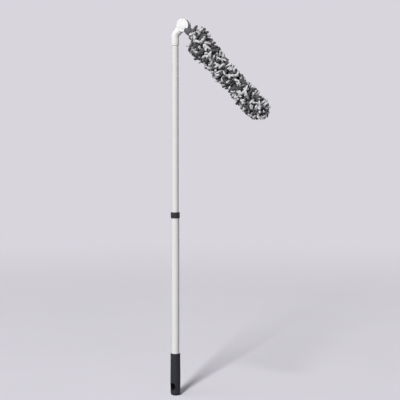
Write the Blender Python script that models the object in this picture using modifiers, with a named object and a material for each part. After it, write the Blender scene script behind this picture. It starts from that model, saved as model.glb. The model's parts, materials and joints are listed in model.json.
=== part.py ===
"""Microfiber duster on a telescopic pole, built piece by piece.

Metres, +Z up. The origin is the centre of the grip's flat foot and the pole stands along +Z.
The head swings in the XZ plane. It is modelled along its own +Z, away from the hinge, and an
empty on the hinge axis turns it to where it hangs: towards +X, 45 degrees below level.
"""

import math
import random

import bmesh
import bpy
from mathutils import Vector

# Clearances and facets
GAP = 0.0003
RUNNING_GAP = 0.0006
OVERRUN = 0.004
WELD = 0.00001
SIDES = 32
HUB_SIDES = 36
SMALL_SIDES = 20
SCREW_SIDES = 12

# Grip
GRIP_LENGTH = 0.1183
GRIP_RADIUS = 0.01415
GRIP_BELLY_HEIGHT = 0.045
GRIP_MOUTH_RADIUS = 0.0137
GRIP_MOUTH_ROUND = 0.0008
HEEL_RADIUS = 0.0137
HEEL_HEIGHT = 0.0085
FOOT_RADIUS = 0.0088
HEEL_CHAMFER_HEIGHT = 0.0095
HEEL_CHAMFER_DEPTH = 0.0058
SLOT_WIDTH = 0.0164
SLOT_HEIGHT = 0.022
SLOT_FLOOR = 0.0136
SLOT_TWIST = math.radians(-14)
SEAT_WEB = 0.0127

# Lower tube and its plug
LOWER_RADIUS = 0.011
TUBE_WALL = 0.0008
LOWER_LENGTH = 0.4616
PLUG_FLANGE = 0.002
PLUG_DEPTH = 0.010
PLUG_CHAMFER = 0.001

# Guide collar
COLLAR_RADIUS = 0.0127
COLLAR_HEIGHT = 0.0164
COLLAR_LIP = 0.003
COLLAR_ROUND = 0.0009

# Upper tube
UPPER_RADIUS = 0.0095
UPPER_LENGTH = 0.5666
TUBE_OVERLAP = 0.0776

# Twist lock
SPINDLE_PLUG_DEPTH = 0.022
SPINDLE_FLANGE = 0.002
CAM_RADIUS = 0.0055
CAM_OFFSET = 0.0012
BUSH_LENGTH = 0.018
BUSH_SLIT = 0.002
BUSH_GROOVE_DEPTH = 0.0006
BUSH_GROOVES = 3
STOP_THICKNESS = 0.003
LOCK_SCREW_RADIUS = 0.0014
LOCK_SCREW_DEPTH = 0.010
LOCK_SCREW_HEAD_RADIUS = 0.003
LOCK_SCREW_HEAD_HEIGHT = 0.002

# Neck
NECK_RADIUS = 0.011
NECK_LIP_ROUND = 0.0006
NECK_SOCKET_DEPTH = 0.0221
NECK_BEND = math.radians(45)
NECK_BEND_RADIUS = 0.022
ELBOW_RISE = 0.0069
ARM_LENGTH = 0.03665
ARM_HALF_WIDTH = 0.0128
ARM_HALF_DEPTH = 0.0094
RIVET_RADIUS = 0.0013
RIVET_HEAD_RADIUS = 0.0026
RIVET_HEAD_HEIGHT = 0.0011
RIVET_REACH = 0.002

# Hinge
HUB_RADIUS = 0.018
HUB_ROUND = 0.0009
CHEEK_THICKNESS = 0.0051
CHEEK_FLOOR = 0.0016
TONGUE_THICKNESS = 0.0096
POCKET_DEPTH = 0.0008
WASHER_THICKNESS = 0.0008
WASHER_RADIUS = 0.009
BOLT_RADIUS = 0.003
BOLT_HEAD_RADIUS = 0.0065
BOLT_HEAD_HEIGHT = 0.003
BOLT_SOCKET_RADIUS = 0.0023
BOLT_SOCKET_DEPTH = 0.0018
SPRING_HEIGHT = 0.0009
SPRING_THICKNESS = 0.0005
SPRING_RADIUS = 0.0062
NUT_RADIUS = 0.0062
COVER_RADIUS = 0.011
COVER_RIM = 0.001
COVER_CROWN = 0.001
COVER_LEDGE = 0.0017

# Knuckle
HEAD_FOLD = math.radians(135)
EAR_THICKNESS = 0.003
EAR_HALF_WIDTH = 0.0070
EAR_REACH = 0.0132
EAR_ROUND = 0.0011
SHOULDER_END = 0.031
WEB_UPPER_TANGENT = math.radians(64)
WEB_LOWER_TANGENT = math.radians(55)
FLANGE_RADIUS = 0.0102
FLANGE_END = 0.040
SPIGOT_LENGTH = 0.020

# Wand inside the sleeve
CORE_RADIUS = 0.009
CORE_WALL = 0.0015
CORE_LENGTH = 0.286
CORE_PIN_RADIUS = 0.0015
CORE_TIP_PLUG = 0.010

# Chenille sleeve
CUFF_START = 0.0412
CUFF_LENGTH = 0.0046
CUFF_THICKNESS = 0.0038
BACKING_THICKNESS = 0.003
SLEEVE_SLICES = 5
RINGS_A_SLICE = 6
NOODLES_A_RING = 10
NOODLE_HALF_WIDTH = 0.0046
NOODLE_HALF_LENGTH = 0.0036
NOODLE_ROOT_SHARE = 0.5
NOODLE_BELLY_SHARE = 0.62
NOODLE_END_SHARE = 0.68
NOODLE_JITTER_SHARE = 0.09
HEAD_RADIUS = 0.0335
HEAD_RADIUS_SHARES = (1.12, 1.06, 0.96, 0.97, 0.92, 1.04, 1.02)
LEAN_AT_CUFF = math.radians(-5)
LEAN_AT_TIP = math.radians(2)
TIP_EDGE_LATITUDES = tuple(math.radians(a) for a in (9, 22, 36, 50, 63, 77))
TIP_RING_STEPS = (2, 2, 4)
TIP_GIRTH_SHARES = (0.92, 0.86, 0.66)
DARK_NOODLES_SHARE = 0.55
SEED = 7

# Places along the pole
slot_top = SLOT_FLOOR + SLOT_HEIGHT
seat_floor = slot_top + SEAT_WEB
plug_foot = seat_floor + GAP
lower_foot = plug_foot + PLUG_FLANGE + GAP
lower_top = lower_foot + LOWER_LENGTH
lower_bore = LOWER_RADIUS - TUBE_WALL
collar_top = lower_top + GAP + COLLAR_LIP
upper_foot = lower_top - TUBE_OVERLAP
upper_top = upper_foot + UPPER_LENGTH
upper_bore = UPPER_RADIUS - TUBE_WALL
bush_top = upper_foot - GAP - SPINDLE_FLANGE - GAP
bush_foot = bush_top - BUSH_LENGTH
stop_foot = bush_foot - GAP - STOP_THICKNESS
neck_rim = upper_top - NECK_SOCKET_DEPTH
elbow = Vector((0, 0, upper_top + ELBOW_RISE))
arm_direction = Vector((math.sin(NECK_BEND), 0, math.cos(NECK_BEND)))
pivot = elbow + ARM_LENGTH * arm_direction

# Places across the hinge, counted from its middle along Y
tongue_face = TONGUE_THICKNESS / 2
pocket_floor = tongue_face - POCKET_DEPTH
cheek_inside = pocket_floor + GAP + WASHER_THICKNESS + GAP
cheek_outside = cheek_inside + CHEEK_THICKNESS
bolt_seat = cheek_inside + CHEEK_FLOOR
bolt_end = bolt_seat + GAP + BOLT_HEAD_HEIGHT
cover_seat = cheek_outside - COVER_RIM
ear_inside = cheek_outside + RUNNING_GAP
ear_outside = ear_inside + EAR_THICKNESS
tongue_radius = HUB_RADIUS - RUNNING_GAP

# Places along the head, counted from the hinge
core_start = FLANGE_END + GAP
core_end = core_start + CORE_LENGTH
core_bore = CORE_RADIUS - CORE_WALL
pin_height = FLANGE_END + SPIGOT_LENGTH / 2
sleeve_bore = CORE_RADIUS + GAP
backing_radius = sleeve_bore + BACKING_THICKNESS
sleeve_start = CUFF_START + CUFF_LENGTH + GAP
sleeve_end = core_end + GAP
slice_length = (sleeve_end - sleeve_start) / SLEEVE_SLICES


def collection(name):
    made = bpy.data.collections.new(name)
    bpy.context.scene.collection.children.link(made)
    return made


def clear_scene():
    for obj in list(bpy.data.objects):
        bpy.data.objects.remove(obj, do_unlink=True)


def material(name, colour, roughness, metallic=0.0):
    made = bpy.data.materials.new(name)
    made.use_nodes = True
    shader = made.node_tree.nodes["Principled BSDF"]
    shader.inputs["Base Color"].default_value = (*colour, 1.0)
    shader.inputs["Roughness"].default_value = roughness
    shader.inputs["Metallic"].default_value = metallic
    made.diffuse_color = (*colour, 1.0)
    return made


def joint_empty(name, parent=None, location=(0, 0, 0), turn=0.0):
    made = bpy.data.objects.new(name, None)
    parts.objects.link(made)
    made.parent = parent
    made.location = location
    made.rotation_euler = (0, turn, 0)
    return made


def finish(obj, look, parent=None):
    """Shades a piece and hangs it under its joint's empty."""
    obj.parent = parent
    obj.data.materials.clear()
    obj.data.materials.append(look)
    if obj.type == "MESH":
        obj.data.shade_smooth()
        obj.data.set_sharp_from_angle(angle=math.radians(35))
    return obj


def as_tool(obj, parent=None):
    """Marks an object as a cutter or a joined-on shape, which isn't a piece of its own."""
    for owner in obj.users_collection:
        owner.objects.unlink(obj)
    tools.objects.link(obj)
    obj.parent = parent
    obj.hide_render = True
    obj.display_type = "WIRE"
    return obj


def combine(target, other, operation, solver):
    modifier = target.modifiers.new(f"{operation.lower()} {other.name}", "BOOLEAN")
    modifier.operation = operation
    modifier.object = other
    modifier.solver = solver


def cut(target, other, solver="EXACT"):
    combine(target, as_tool(other, target.parent), "DIFFERENCE", solver)


def join(target, other, solver="EXACT"):
    combine(target, as_tool(other, target.parent), "UNION", solver)


def mesh_object(name, bm):
    bmesh.ops.recalc_face_normals(bm, faces=bm.faces)
    data = bpy.data.meshes.new(name)
    bm.to_mesh(data)
    bm.free()
    made = bpy.data.objects.new(name, data)
    parts.objects.link(made)
    return made


def turned(name, profile, sides=SIDES, ring=False):
    """Turns a profile of (radius, height), listed down its outer side, about Z."""
    data = bpy.data.meshes.new(name)
    count = len(profile)
    edges = [(i, i + 1) for i in range(count - 1)] + ([(count - 1, 0)] if ring else [])
    data.from_pydata([(radius, 0, height) for radius, height in profile], edges, [])
    made = bpy.data.objects.new(name, data)
    parts.objects.link(made)
    screw = made.modifiers.new("turn", "SCREW")
    screw.steps = screw.render_steps = sides
    screw.use_merge_vertices = True
    screw.merge_threshold = WELD
    return made


def cylinder(name, radius, low, high, sides=SMALL_SIDES):
    return turned(name, [(0, high), (radius, high), (radius, low), (0, low)], sides)


def tube(name, radius, bore, low, high, sides=SIDES):
    return turned(name, [(radius, high), (radius, low), (bore, low), (bore, high)], sides, ring=True)


def box(name, size, centre):
    bm = bmesh.new()
    bmesh.ops.create_cube(bm, size=1)
    bmesh.ops.scale(bm, vec=Vector(size), verts=bm.verts)
    bmesh.ops.translate(bm, vec=Vector(centre), verts=bm.verts)
    return mesh_object(name, bm)


def along_y(obj, location=(0, 0, 0), reverse=False, facet_turn=0.0):
    """Lays a piece made along Z onto the Y axis, its top towards +Y or, reversed, -Y."""
    obj.rotation_euler = (math.radians(90 if reverse else -90), facet_turn, 0)
    obj.location = location
    return obj


def plate(name, outline, thickness):
    """A flat outline in XZ, given its thickness along Y, as a mesh that can be cut."""
    curve = bpy.data.curves.new(name, "CURVE")
    curve.dimensions = "2D"
    curve.fill_mode = "BOTH"
    curve.extrude = thickness / 2
    spline = curve.splines.new("POLY")
    spline.points.add(len(outline) - 1)
    for point, (x, y) in zip(spline.points, outline):
        point.co = (x, y, 0, 1)
    spline.use_cyclic_u = True
    drawn = bpy.data.objects.new(name, curve)
    parts.objects.link(drawn)
    graph = bpy.context.evaluated_depsgraph_get()
    bm = bmesh.new()
    bm.from_mesh(bpy.data.meshes.new_from_object(drawn.evaluated_get(graph)))
    bmesh.ops.remove_doubles(bm, verts=bm.verts, dist=WELD)
    bpy.data.objects.remove(drawn)
    made = mesh_object(name, bm)
    made.rotation_euler = (math.radians(90), 0, 0)
    return made


def bevelled(obj, width, segments=2):
    modifier = obj.modifiers.new("round", "BEVEL")
    modifier.width = width
    modifier.segments = segments
    modifier.limit_method = "ANGLE"
    return obj


def arc(centre, radius, start, end, steps):
    """Points on an arc round a centre, both ends included, angles in degrees."""
    angles = [math.radians(start + (end - start) * i / steps) for i in range(steps + 1)]
    return [(centre[0] + radius * math.cos(a), centre[1] + radius * math.sin(a)) for a in angles]


def loft(name, sections, sides=SIDES):
    """Joins superellipse sections of (centre, direction, half width, half depth, squareness)."""
    bm = bmesh.new()
    rings = []
    for centre, direction, half_width, half_depth, squareness in sections:
        across = Vector((direction.z, 0, -direction.x))
        ring = []
        for i in range(sides):
            turn = 2 * math.pi * (i + 1 / 2) / sides
            c, s = math.cos(turn), math.sin(turn)
            wide = math.copysign(abs(c) ** (2 / squareness), c) * half_width
            deep = math.copysign(abs(s) ** (2 / squareness), s) * half_depth
            ring.append(bm.verts.new(centre + across * wide + Vector((0, deep, 0))))
        rings.append(ring)
    for below, above in zip(rings, rings[1:]):
        for i in range(sides):
            j = (i + 1) % sides
            bm.faces.new((below[i], below[j], above[j], above[i]))
    bm.faces.new(rings[0])
    bm.faces.new(rings[-1])
    return mesh_object(name, bm)


def grip():
    """Round handle with a barrel belly, a chamfered heel and a slot to hang it by."""
    heel = [
        (
            FOOT_RADIUS + (HEEL_RADIUS - FOOT_RADIUS) * math.sin(t),
            HEEL_HEIGHT * (1 - math.cos(t)),
        )
        for t in (math.radians(90 * i / 4) for i in range(5))
    ]
    shoulder = GRIP_LENGTH - GRIP_MOUTH_ROUND
    belly = []
    for start, end, low, high in (
        (HEEL_RADIUS, GRIP_RADIUS, HEEL_HEIGHT, GRIP_BELLY_HEIGHT),
        (GRIP_RADIUS, GRIP_MOUTH_RADIUS, GRIP_BELLY_HEIGHT, shoulder),
    ):
        for i in range(1, 5):
            rise = (1 - math.cos(math.pi * i / 4)) / 2
            belly.append((start + (end - start) * rise, low + (high - low) * i / 4))
    mouth = (GRIP_MOUTH_RADIUS - GRIP_MOUTH_ROUND, GRIP_LENGTH)
    outside = [(0, 0)] + heel + belly + [mouth]
    bore = LOWER_RADIUS + GAP
    inside = [(bore, GRIP_LENGTH), (bore, seat_floor), (0, seat_floor)]
    made = turned("grip", (outside + inside)[::-1])
    made.data.flip_normals()
    cut(made, hanging_slot())
    cut(made, heel_chamfer())
    return finish(made, dark_grip)


def hanging_slot():
    """Cutter with a level facet at each end of the slot, so that a hook has a flat to bear on."""
    half = SLOT_WIDTH / 2
    low, high = SLOT_FLOOR + half, slot_top - half
    outline = arc((0, high), half, 0, 180, 11) + arc((0, low), half, 180, 360, 11)
    made = plate("slot_cutter", outline, 2 * (GRIP_RADIUS + OVERRUN))
    made.rotation_euler = (math.radians(90), 0, SLOT_TWIST)
    return made


def heel_chamfer():
    """A wedge that slopes the heel under the slot's near end."""
    outer, reach = GRIP_RADIUS + OVERRUN, GRIP_RADIUS - HEEL_CHAMFER_DEPTH
    slope = (GRIP_RADIUS - reach) / HEEL_CHAMFER_HEIGHT
    side = [
        (-outer, -OVERRUN),
        (-reach + slope * OVERRUN, -OVERRUN),
        (-GRIP_RADIUS - slope * OVERRUN, HEEL_CHAMFER_HEIGHT + OVERRUN),
        (-outer, HEEL_CHAMFER_HEIGHT + OVERRUN),
    ]
    made = plate("heel_cutter", side, 2 * outer)
    made.rotation_euler = (math.radians(90), 0, SLOT_TWIST + math.radians(90))
    return made


def tube_plug():
    """Push-in plug that closes the lower tube inside the grip."""
    stem = lower_bore - GAP
    top = lower_foot + PLUG_DEPTH
    flange = lower_foot - GAP
    profile = [(0, top), (stem - PLUG_CHAMFER, top), (stem, top - PLUG_CHAMFER), (stem, flange)]
    profile += [(LOWER_RADIUS, flange), (LOWER_RADIUS, plug_foot), (0, plug_foot)]
    return finish(turned("tube_plug", profile, SMALL_SIDES), dark_grip)


def lower_tube():
    return finish(tube("lower_tube", LOWER_RADIUS, lower_bore, lower_foot, lower_top), white_metal)


def guide_collar():
    """Black ring on the lower tube's mouth: a skirt outside it and a lip that guides the upper tube."""
    foot = collar_top - COLLAR_HEIGHT
    skirt, lip = LOWER_RADIUS + GAP, UPPER_RADIUS + GAP
    top_edge = arc((COLLAR_RADIUS - COLLAR_ROUND, collar_top - COLLAR_ROUND), COLLAR_ROUND, 90, 0, 2)
    foot_edge = arc((COLLAR_RADIUS - COLLAR_ROUND, foot + COLLAR_ROUND), COLLAR_ROUND, 0, -90, 2)
    under_lip = collar_top - COLLAR_LIP
    inside = [(skirt, foot), (skirt, under_lip), (lip, under_lip), (lip, collar_top)]
    return finish(turned("guide_collar", top_edge + foot_edge + inside, ring=True), black_plastic)


def lock_bush(parent):
    """Split ring that the cam spreads against the lower tube's bore."""
    outer, bore = lower_bore - GAP, CAM_RADIUS + CAM_OFFSET + GAP
    land = BUSH_LENGTH / (2 * BUSH_GROOVES + 1)
    profile = [(outer, bush_top)]
    for i in range(BUSH_GROOVES):
        top = bush_top - (2 * i + 1) * land
        floor = outer - BUSH_GROOVE_DEPTH
        profile += [(outer, top), (floor, top), (floor, top - land), (outer, top - land)]
    profile += [(outer, bush_foot), (bore, bush_foot), (bore, bush_top)]
    made = finish(turned("lock_bush", profile, SMALL_SIDES, ring=True), pale_plastic, parent)
    middle = (bush_top + bush_foot) / 2
    size = (2 * outer, BUSH_SLIT, BUSH_LENGTH + OVERRUN)
    cut(made, box("slit_cutter", size, (outer, 0, middle)))
    return made


def lock_spindle(parent):
    """Plug in the upper tube's end with the off-centre cam below it."""
    plug, flange = upper_bore - GAP, upper_foot - GAP
    top = upper_foot + SPINDLE_PLUG_DEPTH
    profile = [(0, top), (plug - PLUG_CHAMFER, top), (plug, top - PLUG_CHAMFER), (plug, flange)]
    profile += [(UPPER_RADIUS, flange), (UPPER_RADIUS, flange - SPINDLE_FLANGE)]
    profile += [(0, flange - SPINDLE_FLANGE)]
    made = finish(turned("lock_spindle", profile, SMALL_SIDES), pale_plastic, parent)
    cam = cylinder("cam", CAM_RADIUS, bush_foot, flange - SPINDLE_FLANGE / 2)
    cam.location.x = CAM_OFFSET
    join(made, cam)
    hole_top = bush_foot + LOCK_SCREW_DEPTH + GAP
    cut(made, cylinder("screw_hole", LOCK_SCREW_RADIUS + GAP, bush_foot - OVERRUN, hole_top, SCREW_SIDES))
    return made


def spindle_stop(parent):
    """Disc that keeps the bush on the cam."""
    hole = LOCK_SCREW_RADIUS + GAP
    made = tube("spindle_stop", UPPER_RADIUS, hole, stop_foot, bush_foot - GAP, SMALL_SIDES)
    return finish(made, pale_plastic, parent)


def spindle_screw(parent):
    under_head = stop_foot - GAP
    head_foot = under_head - LOCK_SCREW_HEAD_HEIGHT
    top = bush_foot + LOCK_SCREW_DEPTH
    shank, head = LOCK_SCREW_RADIUS, LOCK_SCREW_HEAD_RADIUS
    profile = [(0, top), (shank, top), (shank, under_head), (head, under_head)]
    profile += [(head, head_foot + LOCK_SCREW_HEAD_HEIGHT / 2), (shank, head_foot), (0, head_foot)]
    return finish(turned("spindle_screw", profile, SCREW_SIDES), steel, parent)


def upper_tube(parent):
    made = tube("upper_tube", UPPER_RADIUS, upper_bore, upper_foot, upper_top)
    finish(made, white_metal, parent)
    cut(made, rivet_bore("tube_rivet_hole"))
    return made


def rivet_bore(name):
    height = neck_rim + NECK_SOCKET_DEPTH / 2
    bore = cylinder(name, RIVET_RADIUS + GAP, 0, NECK_RADIUS + OVERRUN, SCREW_SIDES)
    return along_y(bore, (0, 0, height), facet_turn=math.pi / SCREW_SIDES)


def neck_sections():
    """Sections of the neck: a round sleeve, a bend, and an arm that flattens towards the hub."""
    up = Vector((0, 0, 1))
    tangent = NECK_BEND_RADIUS * math.tan(NECK_BEND / 2)
    bend_start = elbow - tangent * up
    centre = bend_start + Vector((NECK_BEND_RADIUS, 0, 0))
    lip = NECK_RADIUS - NECK_LIP_ROUND
    sections = [
        (Vector((0, 0, neck_rim)), up, lip, lip, 2),
        (Vector((0, 0, neck_rim + NECK_LIP_ROUND)), up, NECK_RADIUS, NECK_RADIUS, 2),
    ]
    for i in range(5):
        turn = NECK_BEND * i / 4
        outward = Vector((-math.cos(turn), 0, math.sin(turn)))
        direction = Vector((math.sin(turn), 0, math.cos(turn)))
        sections.append((centre + NECK_BEND_RADIUS * outward, direction, NECK_RADIUS, NECK_RADIUS, 2))
    bend_end = elbow + tangent * arm_direction
    for i in range(1, 5):
        share = i / 4
        half_width = NECK_RADIUS + (ARM_HALF_WIDTH - NECK_RADIUS) * share
        half_depth = NECK_RADIUS + (ARM_HALF_DEPTH - NECK_RADIUS) * share
        place = bend_end.lerp(pivot, share)
        sections.append((place, arm_direction, half_width, half_depth, 2 + 2 * share))
    return sections


def hub_disc():
    """The hub's round, with a softened rim, turned about the hinge axis."""
    flat = HUB_RADIUS - HUB_ROUND
    top = arc((flat, cheek_outside - HUB_ROUND), HUB_ROUND, 90, 0, 2)
    foot = arc((flat, HUB_ROUND - cheek_outside), HUB_ROUND, 0, -90, 2)
    profile = [(0, cheek_outside)] + top + foot + [(0, -cheek_outside)]
    disc = turned("hub_disc", profile, HUB_SIDES)
    return along_y(disc, pivot)


def hub_recess(reverse):
    """Cuts a cheek's pocket for the bolt's head or nut, and the ledge that its cover sits on."""
    pocket, ledge = BOLT_HEAD_RADIUS + COVER_LEDGE, COVER_RADIUS + GAP
    out = cheek_outside + OVERRUN
    profile = [(0, out), (ledge, out), (ledge, cover_seat), (pocket, cover_seat)]
    profile += [(pocket, bolt_seat), (0, bolt_seat)]
    return along_y(turned("hub_recess", profile, SMALL_SIDES), pivot, reverse)


def neck(parent):
    """White moulding from the upper tube's end to the two round cheeks of the hinge.

    Its many coaxial cuts come out open with the exact solver, so they use the manifold one.
    """
    made = finish(loft("neck", neck_sections()), white_plastic, parent)
    socket_top = upper_top + GAP
    socket = cylinder("socket_cutter", UPPER_RADIUS + GAP, neck_rim - OVERRUN, socket_top, SIDES)
    cut(made, socket, "MANIFOLD")
    join(made, hub_disc(), "MANIFOLD")
    fork = cylinder("fork_cutter", HUB_RADIUS + GAP, -cheek_inside, cheek_inside, HUB_SIDES)
    cut(made, along_y(fork, pivot), "MANIFOLD")
    for reverse in (False, True):
        cut(made, hub_recess(reverse), "MANIFOLD")
    bolt_hole = cylinder("bolt_hole", BOLT_RADIUS + GAP, -cheek_outside, cheek_outside)
    cut(made, along_y(bolt_hole, pivot), "MANIFOLD")
    cut(made, rivet_bore("neck_rivet_hole"), "MANIFOLD")
    return made


def neck_rivet(parent):
    """Round-headed rivet through neck and tube, at the back."""
    under_head = NECK_RADIUS + GAP
    crown = under_head + RIVET_HEAD_HEIGHT
    profile = [(0, crown), (RIVET_HEAD_RADIUS / 2, crown)]
    profile += [(RIVET_HEAD_RADIUS, under_head + RIVET_HEAD_HEIGHT / 2)]
    profile += [(RIVET_HEAD_RADIUS, under_head), (RIVET_RADIUS, under_head)]
    profile += [(RIVET_RADIUS, upper_bore - RIVET_REACH), (0, upper_bore - RIVET_REACH)]
    made = finish(turned("neck_rivet", profile, SCREW_SIDES), steel, parent)
    return along_y(made, (0, 0, neck_rim + NECK_SOCKET_DEPTH / 2))


def hub_cover(name, parent, reverse):
    """Snap-in cap, crowned outside and hollow over the bolt's head or nut."""
    rim_foot, rim_top = cover_seat + GAP, cheek_outside + GAP
    inside = bolt_end + GAP
    crown = inside + COVER_CROWN
    hollow = BOLT_HEAD_RADIUS + COVER_LEDGE
    rise = [
        (COVER_RADIUS * math.sin(t), rim_top + (crown - rim_top) * math.cos(t))
        for t in (math.radians(90 * i / 4) for i in range(5))
    ]
    under = [(COVER_RADIUS, rim_foot), (hollow, rim_foot), (hollow - COVER_CROWN, inside), (0, inside)]
    made = finish(turned(name, rise + under, SMALL_SIDES), white_plastic, parent)
    return along_y(made, pivot, reverse)


def pivot_bolt(parent):
    """Hinge pin: a low head with a hexagon socket in the front cheek, the shank through to the nut."""
    seat = bolt_seat + GAP
    profile = [(0, bolt_end), (BOLT_HEAD_RADIUS, bolt_end), (BOLT_HEAD_RADIUS, seat)]
    profile += [(BOLT_RADIUS, seat), (BOLT_RADIUS, -bolt_end), (0, -bolt_end)]
    made = finish(turned("pivot_bolt", profile, SMALL_SIDES), steel, parent)
    along_y(made, pivot, reverse=True)
    floor = bolt_end - BOLT_SOCKET_DEPTH
    socket = cylinder("hexagon_cutter", BOLT_SOCKET_RADIUS, floor, bolt_end + OVERRUN, 6)
    cut(made, along_y(socket, pivot, reverse=True))
    return made


def pivot_nut(parent):
    """Thin hexagon nut at the back."""
    low = bolt_seat + GAP + SPRING_HEIGHT + GAP
    made = along_y(cylinder("pivot_nut", NUT_RADIUS, low, bolt_end, 6), pivot)
    finish(made, steel, parent)
    bore = cylinder("nut_bore", BOLT_RADIUS + GAP, low - OVERRUN, bolt_end + OVERRUN)
    cut(made, along_y(bore, pivot))
    return made


def spring_washer(parent):
    """Dished washer that keeps the nut pulling on the cheeks."""
    seat = bolt_seat + GAP
    bore = BOLT_RADIUS + GAP
    dish = SPRING_HEIGHT - SPRING_THICKNESS
    profile = [(SPRING_RADIUS, seat + SPRING_THICKNESS), (SPRING_RADIUS, seat)]
    profile += [(bore, seat + dish), (bore, seat + SPRING_HEIGHT)]
    made = finish(turned("spring_washer", profile, SMALL_SIDES, ring=True), steel, parent)
    return along_y(made, pivot)


def friction_washer(name, parent, reverse):
    low = pocket_floor + GAP
    high = low + WASHER_THICKNESS
    made = tube(name, WASHER_RADIUS, BOLT_RADIUS + GAP, low, high, SMALL_SIDES)
    return along_y(finish(made, rubber, parent), pivot, reverse)


def knuckle(parent):
    """Grey moulding: a tongue between the cheeks, ears over them, and a spigot for the wand."""
    nose = EAR_REACH + EAR_HALF_WIDTH
    outline = arc((0, nose), EAR_HALF_WIDTH, 180, 360, 12)
    outline += [(EAR_HALF_WIDTH, SHOULDER_END), (-EAR_HALF_WIDTH, SHOULDER_END)]
    made = bevelled(plate("knuckle", outline, 2 * ear_outside), EAR_ROUND)
    finish(made, grey_plastic, parent)
    saddle = cylinder("saddle_cutter", HUB_RADIUS + RUNNING_GAP, -ear_inside, ear_inside, HUB_SIDES)
    cut(made, along_y(saddle))
    join(made, knuckle_flange())
    join(made, along_y(cylinder("tongue", tongue_radius, -tongue_face, tongue_face, HUB_SIDES)))
    stem = (2 * (EAR_HALF_WIDTH - EAR_ROUND), TONGUE_THICKNESS - GAP, nose)
    join(made, box("stem", stem, (0, 0, EAR_REACH)))
    join(made, knuckle_web())
    spigot = core_bore - GAP
    join(made, cylinder("spigot", spigot, SHOULDER_END, FLANGE_END + SPIGOT_LENGTH, SIDES))
    for low, high in ((pocket_floor, tongue_face), (-tongue_face, -pocket_floor)):
        reach = (low, high + OVERRUN) if low > 0 else (low - OVERRUN, high)
        cut(made, along_y(cylinder("washer_pocket", WASHER_RADIUS + GAP, *reach, SIDES)))
    cut(made, along_y(cylinder("pivot_hole", BOLT_RADIUS + GAP, -ear_outside, ear_outside)))
    cut(made, pin_bore("spigot_pin_hole"))
    return made


def knuckle_web():
    """Runs the tongue's round off to the shoulder, fuller on the side away from the pole.

    On the pole's side it leaves room for the neck's arm when the head is folded.
    """
    round_off = tongue_radius * math.cos(math.pi / HUB_SIDES)
    foot = EAR_HALF_WIDTH - EAR_ROUND
    outline = []
    for side, tangent in ((-1, WEB_UPPER_TANGENT), (1, WEB_LOWER_TANGENT)):
        across, along = math.sin(tangent), math.cos(tangent)
        start = (side * round_off * across, round_off * along)
        end = (side * foot, (round_off - foot * across) / along)
        outline += [start, end] if side < 0 else [end, start]
    return plate("web", outline, TONGUE_THICKNESS - 2 * GAP)


def knuckle_flange():
    """Blends the flat shoulder into the round flange that the wand butts against."""
    along = Vector((0, 0, 1))
    start = SHOULDER_END - EAR_ROUND - RUNNING_GAP
    sections = []
    for i in range(4):
        share = i / 3
        ease = (1 - math.cos(math.pi * share)) / 2
        half_width = EAR_HALF_WIDTH - EAR_ROUND / 2
        half_depth = ear_outside - EAR_ROUND / 2
        sections.append(
            (
                Vector((0, 0, start + (FLANGE_END - start) * share)),
                along,
                half_width + (FLANGE_RADIUS - half_width) * ease,
                half_depth + (FLANGE_RADIUS - half_depth) * ease,
                5 - 3 * ease,
            )
        )
    return loft("flange", sections)


def pin_bore(name):
    reach = CORE_RADIUS + OVERRUN
    bore = cylinder(name, CORE_PIN_RADIUS + GAP, -reach, reach, SCREW_SIDES)
    return along_y(bore, (0, 0, pin_height), facet_turn=math.pi / SCREW_SIDES)


def core_tube(parent):
    """Stiff tube that carries the sleeve."""
    made = tube("core_tube", CORE_RADIUS, core_bore, core_start, core_end)
    finish(made, pale_plastic, parent)
    cut(made, pin_bore("core_pin_hole"))
    return made


def core_pin(parent):
    half = CORE_RADIUS - GAP
    made = finish(cylinder("core_pin", CORE_PIN_RADIUS, -half, half, SCREW_SIDES), steel, parent)
    return along_y(made, (0, 0, pin_height))


def core_tip(parent):
    """Rounded plug in the tube's far end, which the sleeve slides over."""
    seat = core_end + GAP
    dome = arc((0, seat), CORE_RADIUS, 90, 0, 4)
    plug = core_bore - GAP
    foot = core_end - CORE_TIP_PLUG
    profile = dome + [(plug, seat), (plug, foot + PLUG_CHAMFER), (plug - PLUG_CHAMFER, foot), (0, foot)]
    return finish(turned("core_tip", profile, SMALL_SIDES), pale_plastic, parent)


def sleeve_cuff(parent):
    """Elastic hem at the sleeve's mouth."""
    half, thick = CUFF_LENGTH / 2, CUFF_THICKNESS
    middle = CUFF_START + half
    crown = [
        (sleeve_bore + thick * math.sin(t), middle + half * math.cos(t))
        for t in (math.radians(15 + 150 * i / 4) for i in range(5))
    ]
    ends = [(sleeve_bore, CUFF_START), (sleeve_bore, CUFF_START + CUFF_LENGTH)]
    return finish(turned("sleeve_cuff", crown + ends, SMALL_SIDES, ring=True), chenille_dark, parent)


def head_reach(height):
    """The sleeve's outer radius at a height, read along the shares from cuff to tip."""
    along = (height - sleeve_start) / (sleeve_end - sleeve_start) * (len(HEAD_RADIUS_SHARES) - 1)
    low = min(int(along), len(HEAD_RADIUS_SHARES) - 2)
    share = HEAD_RADIUS_SHARES[low]
    return HEAD_RADIUS * (share + (HEAD_RADIUS_SHARES[low + 1] - share) * (along - low))


def revolved(profile):
    """A closed shell from a profile of (radius, height), with two facets to each noodle."""
    bm = bmesh.new()
    points = [bm.verts.new((radius, 0, height)) for radius, height in profile]
    edges = [bm.edges.new((a, b)) for a, b in zip(points, points[1:])]
    if profile[0][0] > 0:
        edges.append(bm.edges.new((points[-1], points[0])))
    steps = 2 * NOODLES_A_RING
    around = {"cent": (0, 0, 0), "axis": (0, 0, 1), "angle": 2 * math.pi, "steps": steps}
    bmesh.ops.spin(bm, geom=points + edges, **around)
    bmesh.ops.remove_doubles(bm, verts=bm.verts, dist=WELD)
    bmesh.ops.recalc_face_normals(bm, faces=bm.faces)
    return bm


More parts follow.
